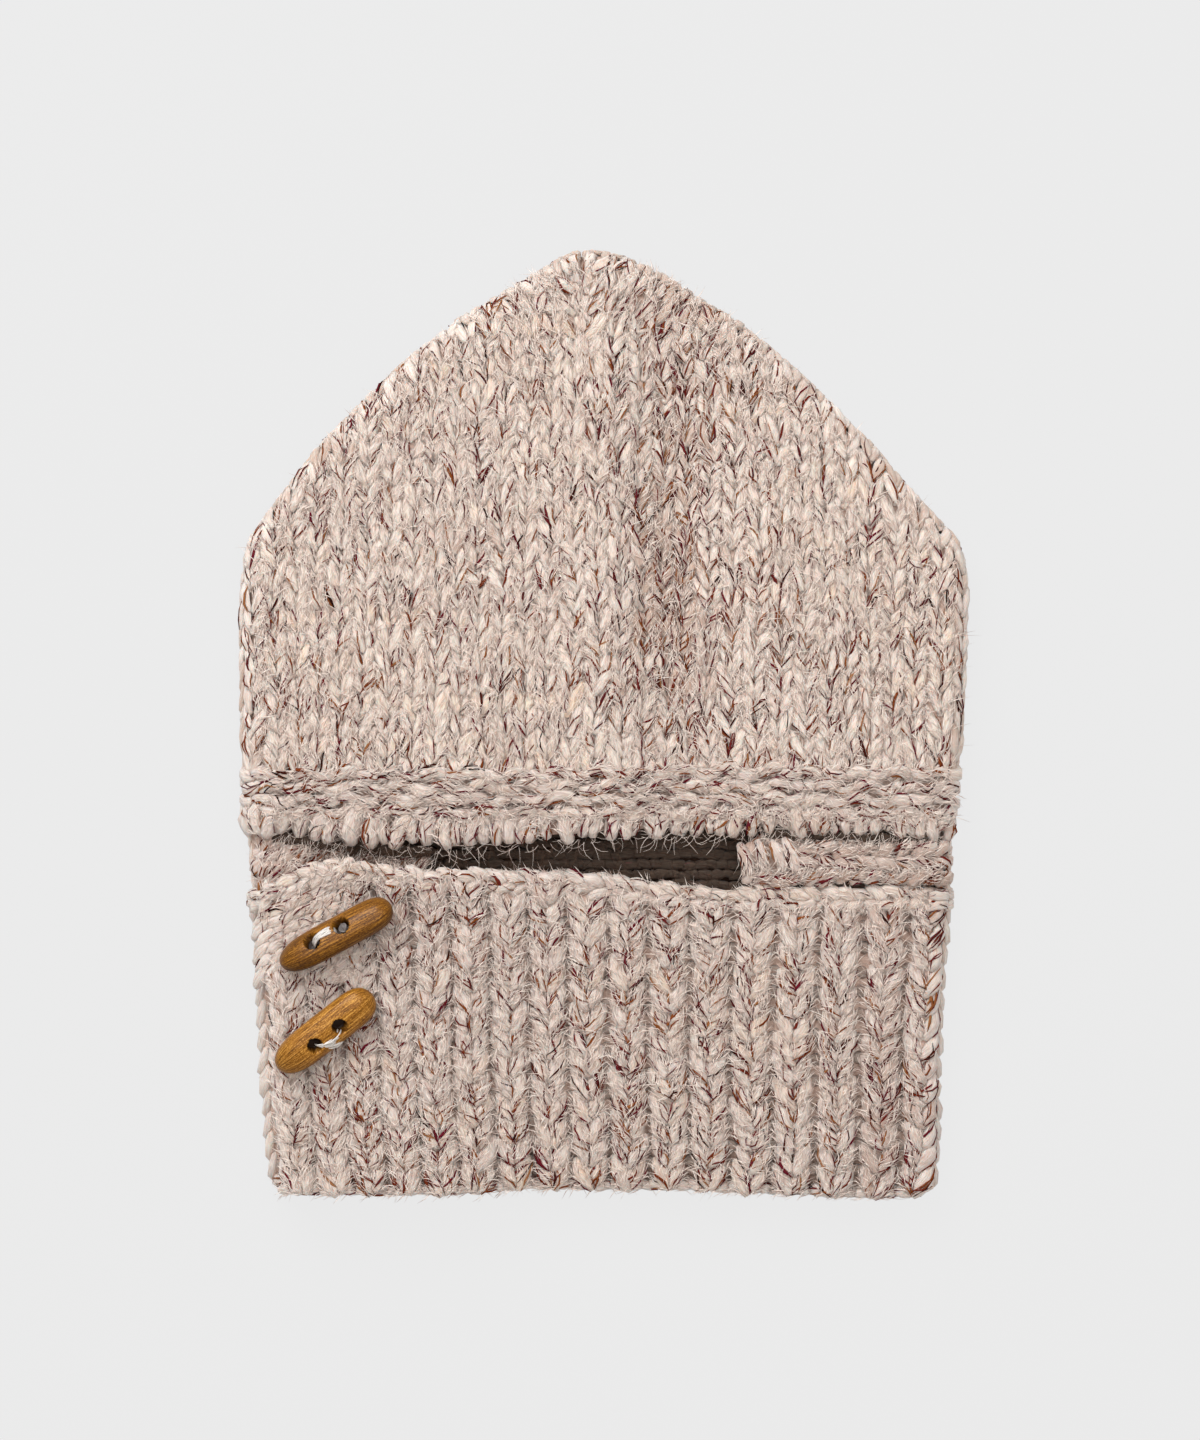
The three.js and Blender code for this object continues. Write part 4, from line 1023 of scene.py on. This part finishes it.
def purl_lobes(first_rib, last_rib):
    """Purl bumps at the bottom of the grooves, one to a course."""
    s, y, row, _ = rib_places(first_rib, last_rib, 0.5)
    count = len(s)
    lobes = lay_legs(
        lay_on_collar, s, y + COLLAR_COURSE / 2 + RNG.normal(0, 0.4, count),
        RNG.normal(0, 0.15, count), LOBE_STEP[::2] * 0.55, LOBE_BOW[::2] * 0.6,
        LOBE_LIFT[::2] * 0.5 - 1.5, LOBE_WIDE[::2] * 0.95, LOBE_WIDE[::2] * 0.8, 6,
    )
    return lobes, marl_tint(row, s / 12.0, 6.0)


rib_count = len(GROOVES) - 1
front_v, front_v_tint = rib_legs(HIDDEN_RIBS - 1, rib_count, sides=7, pick=slice(None))
put_legs("collar_stitches_front", front_v, front_v_tint, collar_wool, "neck_collar")
back_v, back_v_tint = rib_legs(1, HIDDEN_RIBS - 1, sides=6, pick=slice(None, None, 2))
put_legs("collar_stitches_back", back_v, back_v_tint, collar_wool, "neck_collar")
purl, purl_tint = purl_lobes(2, rib_count - 1)
# the purl bumps in the grooves get wool darkened as painted shade of the grooves
groove_shade_wool = marled_wool("groove_shade_wool", 0.5, (1.0, 0.92, 0.88))
put_legs("collar_purl_bumps", purl, purl_tint, groove_shade_wool, "neck_collar")

# the lip is a chain of lobes, the hem a row of small cast-on loops
lip_x = np.arange(-112.0, 132.0, 5.4)
lip_s = RUNS[4] + RIGHT_PIVOT - lip_x
lip_y = read_edge(LIP, lip_x)
lip_turn = -np.arctan(np.gradient(lip_y, lip_x))
lip_sets = [
    lay_legs(lay_on_collar, lip_s, lip_y - 2.6 + RNG.normal(0, 0.35, len(lip_s)),
             lip_turn + RNG.normal(0.35, 0.22, len(lip_s)),
             LOBE_STEP * 0.85, LOBE_BOW * 1.6, LOBE_LIFT, LOBE_WIDE, LOBE_WIDE * 0.8, 6),
    lay_legs(lay_on_collar, lip_s + 2.7, lip_y - 6.0 + RNG.normal(0, 0.5, len(lip_s)),
             lip_turn + RNG.normal(-0.35, 0.25, len(lip_s)),
             LOBE_STEP * 0.85, LOBE_BOW * 1.4, LOBE_LIFT - 0.2, LOBE_WIDE, LOBE_WIDE * 0.75, 6),
]
under_s = np.arange(12.0, RUNS[4] + 4.0, 6.6)
for drop, tilt in ((2.4, 0.3), (5.8, -0.3)):
    lip_sets.append(lay_legs(
        lay_on_collar, under_s, strip_top(under_s) - drop, RNG.normal(tilt, 0.1, len(under_s)),
        LOBE_STEP * 0.9, LOBE_BOW, LOBE_LIFT + 0.2, LOBE_WIDE, LOBE_WIDE, 6,
    ))
hem_s = np.arange(RUNS[1], RUNS[5] - 2, 4.4)
lip_sets.append(lay_legs(
    lay_on_collar, hem_s, strip_hem(hem_s) + 2.3, RNG.normal(0, 0.16, len(hem_s)),
    LOBE_STEP * 0.8, LOBE_BOW * -0.2, LOBE_LIFT * 0.4 - 0.9, LOBE_WIDE * 0.85, LOBE_WIDE * 0.8, 6,
))
# the flap's upper corner, where the strip's edge stitches run slantwise
corner_row, corner_col = np.meshgrid(np.arange(11), np.arange(9), indexing="ij")
corner_x = -123.0 + 4.6 * corner_col.ravel() + 1.3 * (corner_row.ravel() % 2)
corner_y = -51.0 - 4.1 * corner_row.ravel() + 0.42 * (corner_x - CORNER_X)
corner_keep = corner_y < read_edge(LIP, corner_x) - 1.6
corner_keep &= (corner_x < -86) & (corner_x > -121) & (corner_y > -89)
corner_x, corner_y = corner_x[corner_keep], corner_y[corner_keep]
CORNER_DROP_X, CORNER_DROP_RUN, CORNER_DROP = -110.0, 14.0, 10.0


def lay_on_corner(x, y, lift):
    """Flat place on the flap's corner, which drops over its edge on to the fold below, by
    the square of the way past the edge."""
    past = np.clip((CORNER_DROP_X - x) / CORNER_DROP_RUN, 0, 1)
    place = np.stack([x, y, FLAP_Z + 1.8 + lift - CORNER_DROP * past ** 2], axis=-1)
    normal = np.stack([-1.2 * past, 0 * past, 1 + 0 * past], axis=-1)
    return place, normal / np.linalg.norm(normal, axis=-1, keepdims=True)


lip_sets.append(lay_legs(
    lay_on_corner, corner_x, corner_y, 0.72 + RNG.normal(0, 0.16, len(corner_x)), LOBE_STEP,
    LOBE_BOW * 0.5, LOBE_LIFT * 0.6 - 0.2, LOBE_WIDE * 1.05, LOBE_WIDE * 0.75, 6,
))
lip_legs = join_legs(lip_sets)
lip_tint = marl_tint(lip_legs["centre"][:, 3, 1] / 7.0, lip_legs["centre"][:, 3, 0] / 6.6, 8.0)
put_legs("collar_lip_and_hem", lip_legs, lip_tint, collar_wool, "neck_collar")
put_flecks("collar_dark_hairs_front", front_v, 1500, 0.31, dark_hairs, "neck_collar")
put_flecks("collar_dark_hairs_lip", lip_legs, 420, 0.25, dark_hairs, "neck_collar")
put_flecks("collar_dark_hairs_back", back_v, 450, 0.20, dark_hairs, "neck_collar")
put_hairs("collar_pale_hairs_front", front_v, 20000, 0.145, (3.0, 7.0), 1.1, pale_hairs,
          "neck_collar")
put_hairs("collar_pale_hairs_lip", lip_legs, 5000, 0.145, (2.5, 5.5), 1.2, pale_hairs,
          "neck_collar")
put_hairs("collar_pale_hairs_back", back_v, 800, 0.13, (3.0, 6.5), 1.1, pale_hairs,
          "neck_collar")

# dark fuzz that reaches up from the lip into the opening, and on the flap's upper corner: partly
# real fuzz, partly painted shade
LIP_FUZZ_Z, CORNER_FUZZ_Z = 20.5, 29.0
edge_x = RNG.uniform(-108, 46, 180)
put_edge_fuzz("collar_edge_fuzz", edge_x, read_edge(LIP, edge_x) - 1.0, LIP_FUZZ_Z,
              -DOWNWARD + RNG.normal(0, 0.9, len(edge_x)), shade_hairs, "neck_collar")
corner_x = RNG.uniform(-106, -66, 150)
put_edge_fuzz("collar_corner_fuzz", corner_x,
              read_edge(LIP, corner_x) - RNG.uniform(3, 17, len(corner_x)), CORNER_FUZZ_Z,
              RNG.uniform(0, 2 * math.pi, len(corner_x)), shade_hairs, "neck_collar")

# the matted wall behind the ribs: a loop at four places to a rib and more round both folds,
# up the wall's outer side and down its inner side by shares of the strip's height
strip_s = np.sort(np.concatenate([
    (GROOVES[:, None] + (GROOVES[1] - GROOVES[0]) * np.array([0.0, 0.25, 0.5, 0.75])).ravel(),
    RUNS[1] + np.linspace(0, math.pi * LEFT_TURN, 9),
    RUNS[3] + np.linspace(0, math.pi * RIGHT_TURN, 9),
]))
strip_s = np.concatenate([[0.0], strip_s[(strip_s > 1) & (strip_s < RUNS[5] - 6)],
                          [RUNS[5] - 4.0]])
loop_share = np.array([0, 0.25, 0.5, 0.75, 1, 1, 0.75, 0.5, 0.25, 0])
loop_lift = np.array([-0.6, -0.3, -0.3, -0.3, -0.6, -4.4, -5.0, -5.0, -5.0, -4.4])
strip_u = np.broadcast_to(strip_s[:, None], (len(strip_s), 10))
strip_low = strip_hem(strip_s)[:, None]
strip_v = strip_low + 1.6 + (strip_top(strip_s)[:, None] - strip_low - 2.2) * loop_share
strip_rings, _ = lay_on_collar(strip_u, strip_v, np.broadcast_to(loop_lift, strip_u.shape))
put_wall("collar_backing", strip_rings, matted_wool, "neck_collar")

# The toggles: two turned wooden beads with blunt ends, oiled to a satin finish and bored
# through twice, the upper one brown, the lower one more golden. Grain runs along them and
# their left ends are stained darker; their lower side and the pits of their holes are painted
# darker as shade.
TOGGLES = {
    # middle x, y, length, width, turn, roll, hole spacing, hole shift, hole radius
    "toggle_upper": (-92.4, -72.4, 43.4, 12.6, 28.4, 30.0, 11.3, -2.4, 2.8),
    "toggle_lower": (-96.2, -105.6, 41.5, 13.8, 38.0, -24.0, 10.7, 0.0, 2.6),
}
TOGGLE_THICK = 10.0
FLAP_TOP = 28.4
FLAP_GAP = 0.3


def toggle_frame(name):
    """Middle of a toggle and its three directions: along it, across it, and out of its holes.
    It lies on the flap, rolled about its own length."""
    x, y, _, width, turn, roll, _, _, _ = TOGGLES[name]
    turn, roll = math.radians(turn), math.radians(roll)
    reach = math.hypot(width / 2 * math.sin(roll), TOGGLE_THICK / 2 * math.cos(roll))
    along = np.array([math.cos(turn), math.sin(turn), 0.0])
    flat = np.array([-math.sin(turn), math.cos(turn), 0.0])
    across = flat * math.cos(roll) - np.array([0, 0, math.sin(roll)])
    out = flat * math.sin(roll) + np.array([0, 0, math.cos(roll)])
    return np.array([x, y, FLAP_TOP + FLAP_GAP + reach]), along, across, out


def toggle_wood(name, dark, body, pale):
    """Satin hardwood: long noise streaks along the UV map, fine pores, darker by the tint
    attribute towards the stained end, and on the lower side and in the holes as painted shade."""
    material, tree, shader = new_material(name, {
        "Roughness": 0.4, "Specular IOR Level": 0.15, "Coat Weight": 0.16,
        "Coat Roughness": 0.14,
    })
    uv = add_node(tree, "ShaderNodeUVMap", uv_map="yarn").outputs["UV"]
    tint = add_node(tree, "ShaderNodeAttribute", attribute_name="tint").outputs["Fac"]
    lay = add_node(tree, "ShaderNodeMapping", {"Vector": uv, "Scale": (0.11, 1.5, 1.0)})
    grain = add_node(tree, "ShaderNodeTexNoise", {
        "Vector": lay.outputs["Vector"], "Scale": 1.0, "Detail": 6.0, "Roughness": 0.7,
    }).outputs["Fac"]
    lay = add_node(tree, "ShaderNodeMapping", {"Vector": uv, "Scale": (1.3, 3.4, 1.0)})
    pores = add_node(tree, "ShaderNodeTexNoise", {
        "Vector": lay.outputs["Vector"], "Scale": 1.0, "Detail": 2.0,
    }).outputs["Fac"]
    mixed = add_node(tree, "ShaderNodeMath", {0: pores, 1: 0.55}, operation="MULTIPLY")
    mixed = add_node(tree, "ShaderNodeMath", {0: mixed.outputs[0], 1: grain}, operation="ADD")
    figure = mixed.outputs[0]
    wood = colour_ramp(tree, figure, [(0.55, dark), (0.76, body), (0.96, pale)])
    stain_and_shade = add_node(tree, "ShaderNodeMix", {"Factor": tint, 6: wood, 7: linear(34, 16, 4)},
                     data_type="RGBA")
    bump = add_node(tree, "ShaderNodeBump", {"Height": figure, "Strength": 0.25,
                                             "Distance": 0.3 * MM})
    tree.links.new(stain_and_shade.outputs[2], shader.inputs["Base Color"])
    tree.links.new(bump.outputs["Normal"], shader.inputs["Normal"])
    return material


def put_toggle(name, material):
    """Oval bead, blunter at its right end: rings along its length, each an ellipse that closes
    at the ends, and pushed in to the middle plane where it passes over one of the holes."""
    _, _, length, width, _, _, spacing, shift, radius = TOGGLES[name]
    middle, along, across, out = toggle_frame(name)
    holes = shift + np.array([-0.5, 0.5]) * spacing
    ends = -np.cos(np.linspace(0.07, math.pi - 0.07, 44)) * length / 2
    near = (holes[:, None] + np.linspace(-1.2, 1.2, 27) * radius).ravel()
    a = np.unique(np.round(np.concatenate([ends, near]), 2))[:, None]
    turn = np.linspace(0, 2 * math.pi, 80, endpoint=False)[None]
    swell = np.sqrt(1 - np.abs(2 * a / length) ** np.where(a > 0, 6.5, 4.2))
    b = width / 2 * swell * np.cos(turn)
    c = TOGGLE_THICK / 2 * swell * np.sin(turn)
    away = np.hypot(a[..., None] - holes, b[..., None]).min(axis=-1)
    pit = np.clip((radius - away) / 0.5 + 0.5, 0, 1)
    pit = pit * pit * (3 - 2 * pit)
    c = c * (1 - pit * 0.93)
    points = (middle + a[..., None] * along + b[..., None] * across + c[..., None] * out)[None]
    tips = middle + along * (length / 2) * np.array([[-1.0], [1.0]])
    # tint: stain towards both ends; painted shade along the lower side and in the pits of the
    # holes
    ring_tint = (np.clip(-2 * a / length - 0.45, 0, 1) * 0.6
                 + np.clip(2 * a / length - 0.8, 0, 1) + np.clip(-np.cos(turn) - 0.55, 0, 1))
    tint = np.concatenate([np.clip(np.maximum(ring_tint, pit), 0, 1).ravel(), [0.35, 0.2]])
    put_piece(name + "_bead", points, tips[:1], tips[1:], material, tint, name)


put_toggle("toggle_upper", toggle_wood("brown_wood", (38, 18, 1), (110, 66, 8), (182, 126, 42)))
put_toggle("toggle_lower", toggle_wood("golden_wood", (48, 24, 2), (140, 88, 18), (218, 162, 76)))

# The sewing yarn of the toggles: on the upper one a glossy bleached strand bridges the two
# holes and ends in a small grey knot; on the lower one loose plies leave the left hole and
# run along the lower edge.


def sewing_yarn(name, colour, gloss):
    """Sewing yarn: fine noise lines along the UV map, from the yarn's colour to a darker
    shade of it."""
    material, tree, shader = new_material(name, {"Roughness": gloss})
    uv = add_node(tree, "ShaderNodeUVMap", uv_map="yarn").outputs["UV"]
    lay = add_node(tree, "ShaderNodeMapping", {
        "Vector": uv, "Rotation": (0, 0, 0.5), "Scale": (0.5, 5.0, 1.0),
    })
    lines = add_node(tree, "ShaderNodeTexNoise", {
        "Vector": lay.outputs["Vector"], "Scale": 1.0, "Detail": 3.0,
    }).outputs["Fac"]
    shaded = [0.62 * value for value in colour]
    bump = add_node(tree, "ShaderNodeBump", {"Height": lines, "Strength": 0.6,
                                             "Distance": 0.3 * MM})
    tree.links.new(colour_ramp(tree, lines, [(0.35, shaded), (0.6, colour)]),
                   shader.inputs["Base Color"])
    tree.links.new(bump.outputs["Normal"], shader.inputs["Normal"])
    return material


def put_yarns(name, toggle, paths, radius, material):
    """Thin round strands given by rows of (along, across, out) places in a toggle's frame."""
    thread = toggle.replace("toggle", "toggle_thread")
    middle, along, across, out = toggle_frame(toggle)
    paths = np.asarray(paths, float)
    centre = (middle + paths[..., :1] * along + paths[..., 1:2] * across
              + paths[..., 2:] * out)
    normal = np.broadcast_to(out, centre.shape) + 0.02 * across
    slim = np.full(centre.shape[:2], radius)
    rings, _, _ = strand_rings(centre, normal, slim, slim, 8)
    start, end = poles({"centre": centre}, 0.5)
    put_piece(name, rings, start, end, material, np.full(len(paths), 0.5), thread)


bridge = np.linspace(0, 1, 24)
white_yarn = sewing_yarn("white_yarn", (248, 244, 238), 0.35)
grey_yarn = sewing_yarn("grey_yarn", (136, 130, 128), 0.4)
bridge_a = -8.3 + 9.0 * bridge
bridge_c = 5.3 - 4.6 * (1 - bridge) ** 5 - 3.2 * bridge ** 9
plies = [np.stack([bridge_a, 0.3 + side + 0.16 * np.sin(5 * bridge + 2.1 * number),
                   bridge_c + 0.16 * np.cos(5 * bridge + 2.1 * number)], axis=1)
         for number, side in enumerate((-1.0, -0.5, 0.0, 0.5, 1.0))]
put_yarns("toggle_upper_bridge", "toggle_upper", plies, 0.36, white_yarn)
whirl = np.linspace(0, 1, 90)
knot = [np.stack([
    3.6 + size * np.cos(19 * whirl + number) * np.cos(5 * whirl),
    -0.2 + size * np.sin(19 * whirl + number),
    2.3 + size * np.cos(19 * whirl + number) * np.sin(5 * whirl),
], axis=1) for number, size in enumerate((1.1, 1.5, 0.8))]
put_yarns("toggle_upper_knot", "toggle_upper", knot, 0.32, grey_yarn)
loose = []
for number in range(15):
    wander = 1.3 * math.sin(2.4 * number)
    loose.append(np.stack([
        -5.2 + (9.0 + wander) * bridge,
        -0.6 - (1.2 + 0.36 * number) * np.sin(math.pi * np.minimum(1, bridge * 1.25) / 2),
        2.0 + 3.2 * np.sin(math.pi * bridge) ** 0.5 - 0.32 * number * bridge
        - 0.7 * math.cos(3.1 * number) * bridge,
    ], axis=1))
put_yarns("toggle_lower_plies", "toggle_lower", loose, 0.27, white_yarn)
